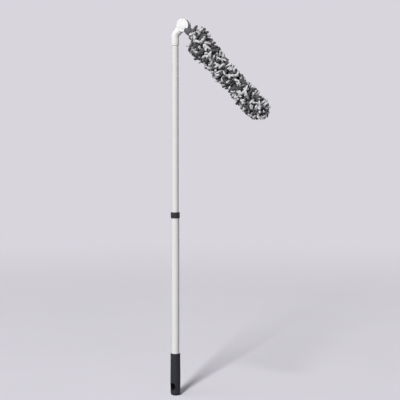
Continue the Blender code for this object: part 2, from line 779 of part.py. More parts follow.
def column_of(face):
    centre = face.calc_center_median()
    return int(math.atan2(centre.y, centre.x) / (math.pi / NOODLES_A_RING) % (2 * NOODLES_A_RING))


def grow_noodle(bm, face, reach, lean, chance, girth=1):
    """Draws one backing facet out into a four-sided noodle with a belly and a blunt end."""
    out = face.normal.copy()
    around = Vector((0, 0, 1)).cross(out).normalized()
    along = out.cross(around)
    sway = chance.uniform(-1, 1) * NOODLE_JITTER_SHARE
    direction = (out * math.cos(lean) + along * (math.sin(lean) + sway) + around * sway).normalized()
    root = face.calc_center_median()
    length = reach * (1 + chance.uniform(-1, 1) * NOODLE_JITTER_SHARE)
    look = 1 if chance.random() < DARK_NOODLES_SHARE else 0
    for share, size in ((NOODLE_BELLY_SHARE, girth), (1, girth * NOODLE_END_SHARE)):
        drawn = bmesh.ops.extrude_discrete_faces(bm, faces=[face])["faces"][0]
        centre = root + direction * length * share
        for vert in drawn.verts:
            offset = vert.co - drawn.calc_center_median()
            wide = math.copysign(NOODLE_HALF_WIDTH * size, offset.dot(around))
            deep = math.copysign(NOODLE_HALF_LENGTH * size, offset.dot(along))
            vert[place_layer(bm)] = centre + around * wide + along * deep
        for vert in drawn.verts:
            vert.co = vert[place_layer(bm)]
        drawn.material_index = look
        for edge in drawn.edges:
            for side in edge.link_faces:
                side.material_index = look
        face = drawn


def place_layer(bm):
    """The layer that holds each corner's new place until all four are worked out."""
    return bm.verts.layers.float_vector.get("place") or bm.verts.layers.float_vector.new("place")


def sleeve_slice(index, parent, chance):
    """A length of backing with its rings of noodles, each ring half a step round from the last."""
    low = sleeve_start + index * slice_length
    high = low + slice_length - GAP
    pitch = (high - low) / RINGS_A_SLICE
    half_root = pitch * NOODLE_ROOT_SHARE / 2
    middles = [low + (ring + 1 / 2) * pitch for ring in range(RINGS_A_SLICE)]
    heights = [low] + [m + side * half_root for m in middles for side in (-1, 1)] + [high]
    profile = [(backing_radius, height) for height in heights]
    bm = revolved(profile + [(sleeve_bore, high), (sleeve_bore, low)])
    place_layer(bm)
    roots = []
    for ring, middle in enumerate(middles):
        for face in bm.faces:
            centre = face.calc_center_median()
            on_ring = abs(centre.z - middle) < half_root and centre.xy.length > sleeve_bore + GAP
            if on_ring and column_of(face) % 2 == ring % 2:
                roots.append(face)
    for face in sorted(roots, key=lambda f: (round(f.calc_center_median().z / GAP), column_of(f))):
        height = face.calc_center_median().z
        along = (height - sleeve_start) / (sleeve_end - sleeve_start)
        lean = LEAN_AT_CUFF + (LEAN_AT_TIP - LEAN_AT_CUFF) * along
        reach = (head_reach(height) - backing_radius) / math.cos(lean)
        grow_noodle(bm, face, reach, lean, chance)
    made = finish(mesh_object(f"sleeve_slice_{index + 1}", bm), chenille_white, parent)
    made.data.materials.append(chenille_dark)
    return made


def sleeve_tip(parent, chance):
    """The closed, domed end of the sleeve, with noodles that fan out over it."""
    edges = (0,) + TIP_EDGE_LATITUDES
    outer = [
        (backing_radius * math.cos(a), sleeve_end + backing_radius * math.sin(a)) for a in edges
    ]
    inner = [
        (sleeve_bore * math.cos(a), sleeve_end + sleeve_bore * math.sin(a))
        for a in (math.radians(90 - 90 * i / 4) for i in range(5))
    ]
    inner[0] = (0, sleeve_end + sleeve_bore)
    mouth = [(backing_radius, sleeve_end), (sleeve_bore, sleeve_end)]
    profile = [(0, sleeve_end + backing_radius)] + outer[::-1] + mouth[1:] + inner[-2::-1]
    bm = revolved(profile)
    place_layer(bm)
    girths = {}
    bands = zip(TIP_EDGE_LATITUDES[::2], TIP_EDGE_LATITUDES[1::2], TIP_RING_STEPS, TIP_GIRTH_SHARES)
    for ring, (low, high, step, girth) in enumerate(bands):
        for face in bm.faces:
            place = face.calc_center_median() - Vector((0, 0, sleeve_end))
            latitude = math.atan2(place.z, place.xy.length)
            outside = place.length > (sleeve_bore + backing_radius) / 2
            if outside and low < latitude < high and column_of(face) % step == ring % 2:
                girths[face] = girth
    for face in sorted(girths, key=lambda f: (round(f.calc_center_median().z / GAP), column_of(f))):
        grow_noodle(bm, face, head_reach(sleeve_end) - backing_radius, 0, chance, girths[face])
    made = finish(mesh_object("sleeve_tip", bm), chenille_white, parent)
    made.data.materials.append(chenille_dark)
    return made


clear_scene()
parts = collection("microfiber_duster")
tools = collection("cutters")

dark_grip = material("dark_grip", (0.035, 0.037, 0.042), 0.55)
black_plastic = material("black_plastic", (0.02, 0.02, 0.022), 0.4)
white_metal = material("white_painted_metal", (0.82, 0.82, 0.81), 0.3)
white_plastic = material("white_plastic", (0.88, 0.88, 0.87), 0.35)
grey_plastic = material("grey_plastic", (0.10, 0.10, 0.105), 0.45)
pale_plastic = material("pale_plastic", (0.62, 0.62, 0.60), 0.5)
rubber = material("washer_rubber", (0.03, 0.03, 0.03), 0.8)
steel = material("steel", (0.60, 0.60, 0.61), 0.3, metallic=1.0)
chenille_white = material("chenille_white", (0.72, 0.72, 0.73), 0.95)
chenille_dark = material("chenille_dark", (0.055, 0.055, 0.062), 0.95)

pole_slide = joint_empty("pole_slide")
pole_twist = joint_empty("pole_twist", pole_slide)
head_tilt = joint_empty("head_tilt", pole_twist, pivot, HEAD_FOLD)
sleeve_pull = joint_empty("sleeve_pull", head_tilt)

grip()
tube_plug()
lower_tube()
guide_collar()

lock_bush(pole_slide)

lock_spindle(pole_twist)
spindle_stop(pole_twist)
spindle_screw(pole_twist)
upper_tube(pole_twist)
neck(pole_twist)
neck_rivet(pole_twist)
pivot_bolt(pole_twist)
pivot_nut(pole_twist)
spring_washer(pole_twist)
friction_washer("friction_washer_front", pole_twist, True)
friction_washer("friction_washer_rear", pole_twist, False)
hub_cover("hub_cover_front", pole_twist, True)
hub_cover("hub_cover_rear", pole_twist, False)

knuckle(head_tilt)
core_tube(head_tilt)
core_pin(head_tilt)
core_tip(head_tilt)

sway = random.Random(SEED)
sleeve_cuff(sleeve_pull)
for number in range(SLEEVE_SLICES):
    sleeve_slice(number, sleeve_pull, sway)
sleeve_tip(sleeve_pull, sway)
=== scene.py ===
# %% [markdown]
# A microfiber duster on a telescopic pole
#
# The solids of the duster come in as a fixed frame, in metres, with the pole standing on the
# origin along +Z and the head hanging towards +X. This lesson dresses them: it models the pieces
# that show again with softer edges and real pile, and gives every piece its finish.

import json
import math
import random

import bpy
from mathutils import Matrix, Vector

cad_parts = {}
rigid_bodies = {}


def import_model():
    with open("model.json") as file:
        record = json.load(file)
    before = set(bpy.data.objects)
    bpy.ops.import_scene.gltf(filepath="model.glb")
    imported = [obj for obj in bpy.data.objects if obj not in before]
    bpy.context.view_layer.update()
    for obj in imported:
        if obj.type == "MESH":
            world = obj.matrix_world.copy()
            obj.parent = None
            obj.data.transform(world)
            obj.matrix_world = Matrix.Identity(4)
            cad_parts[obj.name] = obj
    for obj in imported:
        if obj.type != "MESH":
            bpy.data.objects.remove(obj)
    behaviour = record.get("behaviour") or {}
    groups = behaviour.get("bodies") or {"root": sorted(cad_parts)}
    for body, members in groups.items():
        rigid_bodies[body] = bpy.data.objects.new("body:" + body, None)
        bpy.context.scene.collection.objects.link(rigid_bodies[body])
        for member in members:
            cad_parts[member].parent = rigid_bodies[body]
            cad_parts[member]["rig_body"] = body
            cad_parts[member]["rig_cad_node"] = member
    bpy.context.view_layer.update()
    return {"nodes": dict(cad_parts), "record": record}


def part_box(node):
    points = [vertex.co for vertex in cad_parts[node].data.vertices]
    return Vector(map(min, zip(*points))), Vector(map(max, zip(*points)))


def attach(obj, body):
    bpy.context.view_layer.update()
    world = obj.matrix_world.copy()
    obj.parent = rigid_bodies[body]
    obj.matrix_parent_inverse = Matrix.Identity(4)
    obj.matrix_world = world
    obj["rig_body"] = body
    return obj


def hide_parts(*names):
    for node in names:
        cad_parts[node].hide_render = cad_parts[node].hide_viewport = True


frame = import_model()
nodes = frame["nodes"]
scene = bpy.context.scene


# %% Places read from the solids
def foot_of(node):
    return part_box(node)[0][2]


def top_of(node):
    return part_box(node)[1][2]


for joint in frame["record"]["behaviour"]["joints"]:
    if joint["name"] == "head_tilt":
        pivot = Vector(joint["pos_m"])
print("hinge at", [round(c, 5) for c in pivot], "neck rim at", round(foot_of("neck"), 5))

# %% [markdown]
# The camera
#
# The photograph looks almost level at the duster with a long lens, from five and a half metres
# away and 24 degrees to the right of square on to the head's plane. A wider lens from closer by
# would frame it too, but a long one keeps the pole's edges parallel, so no lens shift is needed.
# Lens, height and angle were worked out from the places of tube, collar, hub and head's end.

# %% Camera
VIEW_SIDE = 24.4
VIEW_DISTANCE = 5.465
VIEW_HEIGHT = 1.0
VIEW_OFFSET = 0.069
VIEW_PITCH = 4.711
FOCAL_PIXELS = 1967.4
PHOTO_WIDTH = 400
SENSOR_WIDTH = 36

turn = math.radians(VIEW_SIDE)
pitch = math.radians(VIEW_PITCH)
to_camera = Vector((math.sin(turn), -math.cos(turn), 0))
to_right = Vector((math.cos(turn), math.sin(turn), 0))
up = Vector((0, 0, 1))
lens = bpy.data.cameras.new("camera")
lens.sensor_width = SENSOR_WIDTH
lens.lens = FOCAL_PIXELS * SENSOR_WIDTH / PHOTO_WIDTH
camera = bpy.data.objects.new("camera", lens)
scene.collection.objects.link(camera)
camera.location = to_camera * VIEW_DISTANCE + to_right * VIEW_OFFSET + up * VIEW_HEIGHT
gaze = -to_camera * math.cos(pitch) - up * math.sin(pitch)
camera.rotation_euler = gaze.to_track_quat("-Z", "Y").to_euler()
scene.camera = camera
print("lens", round(lens.lens, 1), "mm")

# %% [markdown]
# Helpers for modelling
#
# Every operator works on what is selected, and loading leaves the solids selected, so each step
# starts by letting go of everything. A finished piece then rides on one of the duster's moving
# bodies, stands for the solid that it replaces, and takes that solid's finish.


# %% Select and open a piece
def let_go():
    if bpy.context.mode != "OBJECT":
        bpy.ops.object.mode_set(mode="OBJECT")
    bpy.ops.object.select_all(action="DESELECT")


def pick(piece):
    let_go()
    piece.select_set(True)
    bpy.context.view_layer.objects.active = piece


def start_edit(kind="VERT"):
    bpy.ops.object.mode_set(mode="EDIT")
    bpy.ops.mesh.select_mode(type=kind)


def end_edit():
    bpy.ops.object.mode_set(mode="OBJECT")


def open_whole(piece, kind="VERT"):
    """Opens edit mode with the whole mesh selected."""
    pick(piece)
    start_edit(kind)
    bpy.ops.mesh.select_all(action="SELECT")


def choose(piece, kind, wanted):
    """Selects the verts, edges or faces whose middle passes the test, and opens edit mode."""
    pick(piece)
    start_edit(kind)
    bpy.ops.mesh.select_all(action="DESELECT")
    end_edit()
    mesh = piece.data
    groups = {"VERT": mesh.vertices, "EDGE": mesh.edges, "FACE": mesh.polygons}
    for item in groups[kind]:
        if kind == "VERT":
            middle = item.co
        elif kind == "EDGE":
            middle = sum((mesh.vertices[i].co for i in item.vertices), Vector()) / 2
        else:
            middle = item.center
        item.select = wanted(middle)
    start_edit(kind)


print("selecting helpers ready, mode", bpy.context.mode)


# %% Change a mesh
WELD = 0.00001


def draw_out(step):
    bpy.ops.mesh.extrude_region_move(TRANSFORM_OT_translate={"value": tuple(step)})


def widen(across, deep, height):
    """Scales what is selected about the Z axis."""
    bpy.ops.transform.resize(value=(across, deep, 1), center_override=(0, 0, height))


def apply_modifier(piece, name, kind, **settings):
    pick(piece)
    modifier = piece.modifiers.new(name, kind)
    for key, value in settings.items():
        setattr(modifier, key, value)
    bpy.ops.object.modifier_apply(modifier=name)


def shade_smooth(piece, angle):
    """Shades a piece smooth, apart from the edges that turn by more than the angle in degrees."""
    pick(piece)
    bpy.ops.object.shade_smooth_by_angle(angle=math.radians(angle))


def soften(piece, width, segments, angle):
    """Rounds the hard edges and shades the rest smooth."""
    apply_modifier(
        piece, "round", "BEVEL", width=width, segments=segments,
        limit_method="ANGLE", angle_limit=math.radians(angle), use_clamp_overlap=True,
    )
    shade_smooth(piece, angle)


def place_mesh(piece, place):
    """Moves the mesh itself, so that the piece's object stays at the origin."""
    pick(piece)
    piece.matrix_world = place
    bpy.ops.object.transform_apply(location=True, rotation=True, scale=True)


def face_outwards(piece):
    open_whole(piece)
    bpy.ops.mesh.remove_doubles(threshold=WELD)
    bpy.ops.mesh.normals_make_consistent(inside=False)
    end_edit()


print("modelling helpers ready, weld", WELD)


# %% Copy a piece and settle a finished one
def twin_of(piece):
    """A copy with a mesh of its own."""
    twin = piece.copy()
    twin.data = piece.data.copy()
    scene.collection.objects.link(twin)
    return twin


def settle(piece, body, material, *replaced):
    """Gives a finished piece its material and body, and hides the solids that it stands for."""
    if material is not None:
        piece.data.materials.clear()
        piece.data.materials.append(material)
    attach(piece, body)
    if replaced:
        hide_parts(*replaced)
    piece.data.name = piece.name
    print(piece.name, "faces", len(piece.data.polygons), "on", body)


# %% [markdown]
# Turned pieces
#
# Tubes, rings and caps are round about an axis. The spin operator would turn a profile into one,
# but leaves a seam to join. So a ring of points is added at the first place of the profile, then
# drawn out and widened from place to place. The ring stays selected, so each step is one extrude
# and one resize. A closed profile is bridged back to its start.

# %% Draw a ring along a profile
SAME_PLACE = 0.000001
ROUND_SIDES = 64


def turned(name, profile, sides=ROUND_SIDES, ring=False):
    """Draws a ring through places of (radius, height) about Z; an open end gets a flat cap."""
    let_go()
    radius, height = profile[0]
    bpy.ops.mesh.primitive_circle_add(
        vertices=sides, radius=radius, location=(0, 0, height), fill_type="NOTHING"
    )
    piece = bpy.context.object
    piece.name = name
    bpy.ops.object.transform_apply(location=True, rotation=False, scale=False)
    open_whole(piece, "EDGE")
    if not ring:
        bpy.ops.mesh.edge_face_add()
    for next_radius, next_height in profile[1:]:
        draw_out((0, 0, next_height - height))
        widen(next_radius / radius, next_radius / radius, next_height)
        radius, height = next_radius, next_height
    end_edit()
    if ring:
        chord = math.cos(math.pi / sides)

        def on_an_end(middle):
            return any(
                abs(middle.z - z) < SAME_PLACE and abs(middle.xy.length - r * chord) < SAME_PLACE
                for r, z in (profile[0], profile[-1])
            )

        choose(piece, "EDGE", on_an_end)
        bpy.ops.mesh.bridge_edge_loops()
        end_edit()
    face_outwards(piece)
    return piece


print("sides of a turned piece", ROUND_SIDES)


# %% Places on an arc
def arc(centre, reach, start, end, steps, rise=None):
    """Places of (radius, height) on a round, or on an oval if it has a rise, angles in degrees."""
    rise = reach if rise is None else rise
    angles = [math.radians(start + (end - start) * i / steps) for i in range(steps + 1)]
    return [(centre[0] + reach * math.cos(a), centre[1] + rise * math.sin(a)) for a in angles]


print("quarter round", [(round(r, 2), round(z, 2)) for r, z in arc((0, 0), 1, 0, 90, 3)])

# %% [markdown]
# Effects that several finishes share
#
# Moulded plastic has a fine grain, a slow unevenness of tone and a few scuffs. Dust settles on
# what faces up. Painted images could show both, but noise on each piece's own coordinates fits
# any shape without a map. Noise lies mostly between 0.3 and 0.7, so a patch starts and ends
# within that range. Both effects are built once as node groups that put out colours and values
# only, so each material sets its own strengths and keeps its own shader.


# %% Add and feed nodes
def new_group(name, inputs, outputs):
    group = bpy.data.node_groups.new(name, "ShaderNodeTree")
    for side, sockets in (("INPUT", inputs), ("OUTPUT", outputs)):
        for label, kind in sockets.items():
            group.interface.new_socket(label, in_out=side, socket_type=kind)
    given = group.nodes.new("NodeGroupInput").outputs
    return group, given, group.nodes.new("NodeGroupOutput")


def feed(tree, node, values):
    """Gives a node's inputs plain values, or links them where the value is a socket."""
    for socket, source in values.items():
        if isinstance(source, bpy.types.NodeSocket):
            tree.links.new(source, node.inputs[socket])
        else:
            node.inputs[socket].default_value = source


def add(tree, kind, values=None, **options):
    """Adds a node, sets its options and feeds its inputs."""
    node = tree.nodes.new(kind)
    for key, value in options.items():
        setattr(node, key, value)
    feed(tree, node, values or {})
    return node


print("node groups so far", len(bpy.data.node_groups))


# %% Nodes that come up often
def math_node(tree, operation, first, second=0.0, clamp=False):
    return add(
        tree, "ShaderNodeMath", {0: first, 1: second}, operation=operation, use_clamp=clamp
    ).outputs[0]


def times(tree, first, second):
    return math_node(tree, "MULTIPLY", first, second)


def blend_colours(tree, share, first, second):
    values = {0: share, 6: first, 7: second}
    return add(tree, "ShaderNodeMix", values, data_type="RGBA").outputs[2]


def scaled(tree, vector, scale):
    values = {0: vector, "Scale": scale}
    return add(tree, "ShaderNodeVectorMath", values, operation="SCALE").outputs[0]


def noise(tree, where, scale, detail, roughness=0.5):
    values = {"Vector": where, "Scale": scale, "Detail": detail, "Roughness": roughness}
    return add(tree, "ShaderNodeTexNoise", values).outputs["Fac"]


def bumped(tree, height, depth):
    values = {"Height": height, "Strength": 1.0, "Distance": depth}
    return add(tree, "ShaderNodeBump", values).outputs["Normal"]


def stretch(tree, value, low, high, to_low=0.0, to_high=1.0):
    values = {"Value": value, "From Min": low, "From Max": high, "To Min": to_low, "To Max": to_high}
    return add(tree, "ShaderNodeMapRange", values, clamp=True).outputs["Result"]


def new_material(name):
    made = bpy.data.materials.new(name)
    made.use_nodes = True
    return made, made.node_tree, made.node_tree.nodes["Principled BSDF"]


print("materials so far", len(bpy.data.materials))

# %% Grain, tone and scuffs of a moulding
FLOAT, COLOUR = "NodeSocketFloat", "NodeSocketColor"
TONE_SCALE, STREAK_SCALES = 45.0, (900.0, 900.0, 60.0)

moulded, given, put = new_group(
    "moulded finish",
    {
        "Colour": COLOUR, "Roughness": FLOAT, "Grain Scale": FLOAT, "Tone": FLOAT,
        "Scuffs": FLOAT, "Scuff Colour": COLOUR,
    },
    {"Colour": COLOUR, "Roughness": FLOAT, "Height": FLOAT},
)
where = add(moulded, "ShaderNodeTexCoord").outputs["Object"]
grain = noise(moulded, where, given["Grain Scale"], detail=3.0, roughness=0.6)
slow = noise(moulded, where, TONE_SCALE, detail=4.0, roughness=0.6)
long_way = add(moulded, "ShaderNodeMapping", {"Vector": where, "Scale": STREAK_SCALES})
streak = noise(moulded, long_way.outputs["Vector"], 1.0, detail=2.0)
patch = stretch(moulded, slow, 0.50, 0.68)
scuff = times(moulded, stretch(moulded, streak, 0.58, 0.68), patch)
scuff = times(moulded, scuff, given["Scuffs"])
uneven = stretch(moulded, slow, 0.3, 0.7, -1.0, 1.0)
shade = math_node(moulded, "ADD", times(moulded, uneven, given["Tone"]), 1.0)
toned = scaled(moulded, given["Colour"], shade)
coloured = blend_colours(moulded, scuff, toned, given["Scuff Colour"])
rougher = stretch(moulded, slow, 0.3, 0.7, -0.08, 0.08)
rough = math_node(moulded, "ADD", given["Roughness"], rougher)
rough = math_node(moulded, "ADD", rough, times(moulded, scuff, 0.3), clamp=True)
raised = math_node(moulded, "SUBTRACT", grain, times(moulded, scuff, 0.4))
feed(moulded, put, {"Colour": coloured, "Roughness": rough, "Height": raised})
print("group", moulded.name, len(moulded.nodes), "nodes")

# %% Dust that settles on what faces up
SPECK_SCALE = 420.0
DUST_COLOUR = (0.42, 0.40, 0.37, 1)
dusty, given, put = new_group(
    "settled dust",
    {"Colour": COLOUR, "Roughness": FLOAT, "Amount": FLOAT},
    {"Colour": COLOUR, "Roughness": FLOAT},
)
facing = add(
    dusty, "ShaderNodeSeparateXYZ", {0: add(dusty, "ShaderNodeNewGeometry").outputs["Normal"]}
).outputs["Z"]
where = add(dusty, "ShaderNodeTexCoord").outputs["Object"]
specks = stretch(dusty, noise(dusty, where, SPECK_SCALE, detail=5.0, roughness=0.7), 0.42, 0.62)
lying = times(dusty, stretch(dusty, facing, 0.2, 0.95), specks)
lying = times(dusty, lying, given["Amount"])
dulled = times(dusty, lying, 0.5)
feed(dusty, put, {
    "Colour": blend_colours(dusty, lying, given["Colour"], DUST_COLOUR),
    "Roughness": math_node(dusty, "ADD", given["Roughness"], dulled, clamp=True),
})
print("group", dusty.name, len(dusty.nodes), "nodes")

# %% [markdown]
# Hard finishes
#
# The grip is a satin charcoal moulding, the collar a blacker one, the tubes are steel with a
# white powder coat, the neck and hub a glossier white plastic. The inner pieces are bare nylon,
# rubber and zinc. One helper builds them all from the shared groups, and each finish has its own
# grain size, unevenness, scuffs and gloss.


# %% Build a hard finish
def hard_finish(name, colour, rough, grain_scale, grain_depth, tone, scuffs, scuff_colour,
                dust=0.1, metallic=0.0, specular=0.5):
    """A material with grain and scuffs, its grain's depth in metres, and dust where it faces up."""
    made, tree, shader = new_material(name)
    finish = add(tree, "ShaderNodeGroup", {
        "Colour": (*colour, 1), "Roughness": rough, "Grain Scale": grain_scale, "Tone": tone,
        "Scuffs": scuffs, "Scuff Colour": (*scuff_colour, 1),
    }, node_tree=moulded).outputs
    film = add(tree, "ShaderNodeGroup", {
        "Colour": finish["Colour"], "Roughness": finish["Roughness"], "Amount": dust,
    }, node_tree=dusty).outputs
    feed(tree, shader, {
        "Base Color": film["Colour"], "Roughness": film["Roughness"],
        "Normal": bumped(tree, finish["Height"], grain_depth),
        "Metallic": metallic, "Specular IOR Level": specular,
    })
    return made


print("effects to build on", moulded.name, "and", dusty.name)

# %% The hard finishes
finishes = {
    "dark_grip": hard_finish(
        "satin charcoal plastic", (0.030, 0.031, 0.037), 0.55, 1400, 0.00004, 0.12, 0.35,
        (0.09, 0.09, 0.095), dust=0.10, specular=0.12),
    "black_plastic": hard_finish(
        "black collar plastic", (0.020, 0.020, 0.024), 0.48, 1800, 0.00002, 0.10, 0.30,
        (0.08, 0.08, 0.08), dust=0.10, specular=0.3),
    "white_painted_metal": hard_finish(
        "white powder coat", (0.77, 0.77, 0.76), 0.42, 900, 0.000012, 0.018, 0.20,
        (0.55, 0.54, 0.53), dust=0.05, specular=0.06),
    "white_plastic": hard_finish(
        "white moulded plastic", (0.87, 0.865, 0.86), 0.36, 1300, 0.000010, 0.012, 0.08,
        (0.66, 0.65, 0.63), dust=0.08),
    "grey_plastic": hard_finish(
        "grey knuckle plastic", (0.085, 0.088, 0.094), 0.45, 1500, 0.00003, 0.10, 0.30,
        (0.24, 0.24, 0.245), dust=0.12),
    "pale_plastic": hard_finish(
        "bare nylon", (0.62, 0.62, 0.60), 0.50, 1100, 0.00002, 0.04, 0.20, (0.42, 0.41, 0.39)),
    "washer_rubber": hard_finish(
        "washer rubber", (0.032, 0.032, 0.032), 0.80, 1900, 0.00004, 0.15, 0.20, (0.09, 0.09, 0.09)),
    "steel": hard_finish(
        "zinc plated steel", (0.60, 0.60, 0.62), 0.30, 1600, 0.00001, 0.08, 0.30,
        (0.38, 0.38, 0.38), metallic=1.0),
}
# A matte charcoal for the slot's inner wall, whose darker colour is painted shade inside the hole.
slot_painted_shade = hard_finish(
    "charcoal plastic darkened as painted slot shade", (0.010, 0.010, 0.012), 0.80, 1400, 0.00005, 0.15, 0.20,
    (0.03, 0.03, 0.03), dust=0.05, specular=0.05)
print("hard finishes", sorted(finishes))

# %% [markdown]
# Chenille
#
# Microfiber chenille is a thick yarn whose short fibres stand out all round, so it has no gloss
# and its edges catch the light softly. Hair could show each fibre, but there would be far too
# many, so noise raises them and sheen lights their edges. Each strand's colour is darkened towards
# its root as painted shade, running along the strand's own UV map, so it follows every curl. Two
# yarns are mixed in this head, a white one and a dark grey one.

# %% Fibres of the yarn
FIBRE_SCALE, FLECK_SCALE = 1500.0, 420.0
fibres, given, put = new_group(
    "chenille fibres",
    {"Colour": COLOUR, "Painted Root Shade": COLOUR, "Fleck Colour": COLOUR, "Flecks": FLOAT},
    {"Colour": COLOUR, "Height": FLOAT},
)
run_map = add(fibres, "ShaderNodeTexCoord").outputs["UV"]
along = add(fibres, "ShaderNodeSeparateXYZ", {0: run_map}).outputs["Y"]
where = add(fibres, "ShaderNodeTexCoord").outputs["Object"]
pile = noise(fibres, where, FIBRE_SCALE, detail=3.0, roughness=0.7)
tufts = noise(fibres, where, FLECK_SCALE, detail=2.0)
# Painted shade: each strand's colour darkens towards its root.
painted_shade_fade = stretch(fibres, along, 0.05, 0.6)
with_painted_root_shade = blend_colours(fibres, painted_shade_fade, given["Painted Root Shade"], given["Colour"])
lifted = times(fibres, stretch(fibres, tufts, 0.52, 0.70), given["Flecks"])
feed(fibres, put, {
    "Colour": blend_colours(fibres, lifted, with_painted_root_shade, given["Fleck Colour"]),
    "Height": math_node(fibres, "ADD", times(fibres, tufts, 1.2), pile),
})
print("group", fibres.name, len(fibres.nodes), "nodes")


# %% The two yarns and the knitted backing
YARN_DEPTH, BACKING_DEPTH = 0.0012, 0.0003


def soft_finish(name, colour, root, fleck, flecks, sheen, depth):
    """A yarn of one colour with painted shade at its roots, pale flecks and fibres of the depth given.
    """
    made, tree, shader = new_material(name)
    yarn = add(tree, "ShaderNodeGroup", {
        "Colour": (*colour, 1), "Painted Root Shade": (*root, 1), "Fleck Colour": (*fleck, 1),
        "Flecks": flecks,
    }, node_tree=fibres).outputs
    feed(tree, shader, {
        "Base Color": yarn["Colour"], "Normal": bumped(tree, yarn["Height"], depth),
        "Roughness": 0.92, "Specular IOR Level": 0.2,
        "Sheen Weight": sheen, "Sheen Roughness": 0.5,
    })
    return made


# The second colour of each yarn is the painted shade at its roots.
white_yarn = soft_finish(
    "white chenille", (0.705, 0.70, 0.725), (0.30, 0.30, 0.32), (0.86, 0.86, 0.87),
    0.45, 0.22, YARN_DEPTH)
dark_yarn = soft_finish(
    "dark grey chenille", (0.090, 0.090, 0.099), (0.022, 0.022, 0.025), (0.28, 0.28, 0.29),
    0.45, 0.16, YARN_DEPTH)
# The backing's dark grey is painted shade between the strands.
shade_dark_backing = soft_finish(
    "knitted backing, dark grey as painted shade", (0.10, 0.10, 0.11), (0.05, 0.05, 0.055), (0.2, 0.2, 0.21),
    0.4, 0.1, BACKING_DEPTH)
finishes["chenille_white"] = white_yarn
finishes["chenille_dark"] = dark_yarn
print("soft finishes", white_yarn.name, dark_yarn.name, shade_dark_backing.name)

# %% Give every solid its finish
for subpart in frame["record"]["subparts"]:
    mesh = nodes[subpart["node"]].data
    mesh.materials.clear()
    mesh.materials.append(finishes[subpart["material_slot"]])

# %% [markdown]
# The chenille strands
#
# The head's pile is hundreds of strands that start on a tube of cloth, stand out and curl over.
# A particle system would do, but strands that are modelled once, bent in a few ways and copied
# keep their own mesh and colour. Each is a four-sided rod in four lengths whose faces are poked
# outwards, so it has knobbly tufts and still only a few dozen faces.

# %% Model one strand
STRAND_SIDES, STRAND_CUTS = 4, 3
STRAND_RADIUS = 0.0034
STRAND_TIP_SHARE = 0.7
TUFT_RISE = 0.0014
TUFT_JITTER = 0.00045


def strand(name, length, bend, seed, look):
    """A tufted rod along Z, thinner at its end and bent by an angle in degrees."""
    let_go()
    bpy.ops.mesh.primitive_cylinder_add(
        vertices=STRAND_SIDES, radius=STRAND_RADIUS, depth=length, end_fill_type="NGON",
        location=(0, 0, length / 2), calc_uvs=True,
    )
    piece = bpy.context.object
    piece.name = name
    bpy.ops.object.transform_apply(location=True, rotation=False, scale=False)
    mesh = piece.data
    choose(piece, "EDGE", lambda middle: abs(middle.z - length / 2) < length / 8)
    bpy.ops.mesh.subdivide(number_cuts=STRAND_CUTS)
    end_edit()
    choose(piece, "FACE", lambda middle: middle.z < WELD)
    bpy.ops.mesh.delete(type="FACE")
    end_edit()
    for layer in list(mesh.uv_layers):
        mesh.uv_layers.remove(layer)
    mesh.uv_layers.new(name="run")
    choose(piece, "VERT", lambda middle: middle.z > length - WELD)
    widen(STRAND_TIP_SHARE, STRAND_TIP_SHARE, length)
    end_edit()
    open_whole(piece, "FACE")
    bpy.ops.mesh.poke(offset=TUFT_RISE, use_relative_offset=False)
    bpy.ops.mesh.select_all(action="SELECT")
    bpy.ops.transform.vertex_random(offset=TUFT_JITTER, seed=seed)
    end_edit()
    run = mesh.uv_layers[0]
    for corner in mesh.loops:
        spot = mesh.vertices[corner.vertex_index].co
        side = math.atan2(spot.y, spot.x) / (2 * math.pi) + 0.5
        run.data[corner.index].uv = (side, spot.z / length)
    apply_modifier(
        piece, "curl", "SIMPLE_DEFORM", deform_method="BEND", deform_axis="X", angle=math.radians(bend)
    )
    pick(piece)
    bpy.ops.object.shade_smooth()
    mesh.materials.append(look)
    return piece


print("strand", 2 * STRAND_RADIUS, "m thick, tufts", TUFT_RISE, "m high")

# %% Bend it in several ways
LENGTHS_AND_BENDS = ((0.0225, 30), (0.0245, 62), (0.0270, 85), (0.0310, 108), (0.0330, 140))
templates = {}
for tone, look in (("white", white_yarn), ("dark", dark_yarn)):
    templates[tone] = [
        strand(f"{tone}_strand_{i}", length, bend, i + 1, look)
        for i, (length, bend) in enumerate(LENGTHS_AND_BENDS)
    ]
print("strand faces", len(templates["white"][0].data.polygons))

# %% [markdown]
# The sleeve
#
# The real sleeve is a sock of cloth with strands sewn on in rows. It is modelled upright along Z,
# counted from the hinge, and turned down into its place at the end. A modifier could scatter the
# strands, but rings half a step apart keep them as even as rows of stitches, with their spin,
# lean and colour drawn from a seeded generator. Near the cuff they lean back over the hinge, where
# three more rows fill the blunt start, and round the tip they fan out. A strand that leans far
# back keeps its curl away from the wand. Each stretch of pile becomes one piece and stands for
# that stretch of the solid.

# %% Places along the head
HEAD_FOLD = math.radians(135)
head_place = Matrix.Translation(pivot) @ Matrix.Rotation(HEAD_FOLD, 4, "Y")
SLEEVE_START = 0.0461
SLEEVE_END = 0.3266
BACKING_RADIUS = 0.0123
SLICES = 5
HEAD_RADIUS = 0.0335
HEAD_SHARES = (1.12, 1.06, 0.96, 0.97, 0.92, 1.04, 1.02)


def head_reach(height):
    """The pile's outer radius at a height, read along the shares from cuff to tip."""
    along = (height - SLEEVE_START) / (SLEEVE_END - SLEEVE_START) * (len(HEAD_SHARES) - 1)
    along = min(max(along, 0), len(HEAD_SHARES) - 1)
    low = min(int(along), len(HEAD_SHARES) - 2)
    return HEAD_RADIUS * (HEAD_SHARES[low] + (HEAD_SHARES[low + 1] - HEAD_SHARES[low]) * (along - low))


def outward_at(around):
    return Vector((math.cos(around), math.sin(around), 0))


def leaning(outward, tilt):
    """A direction that leans from straight out towards the tip, or back where the tilt is negative."""
    return (outward * math.cos(tilt) + up * math.sin(tilt)).normalized()


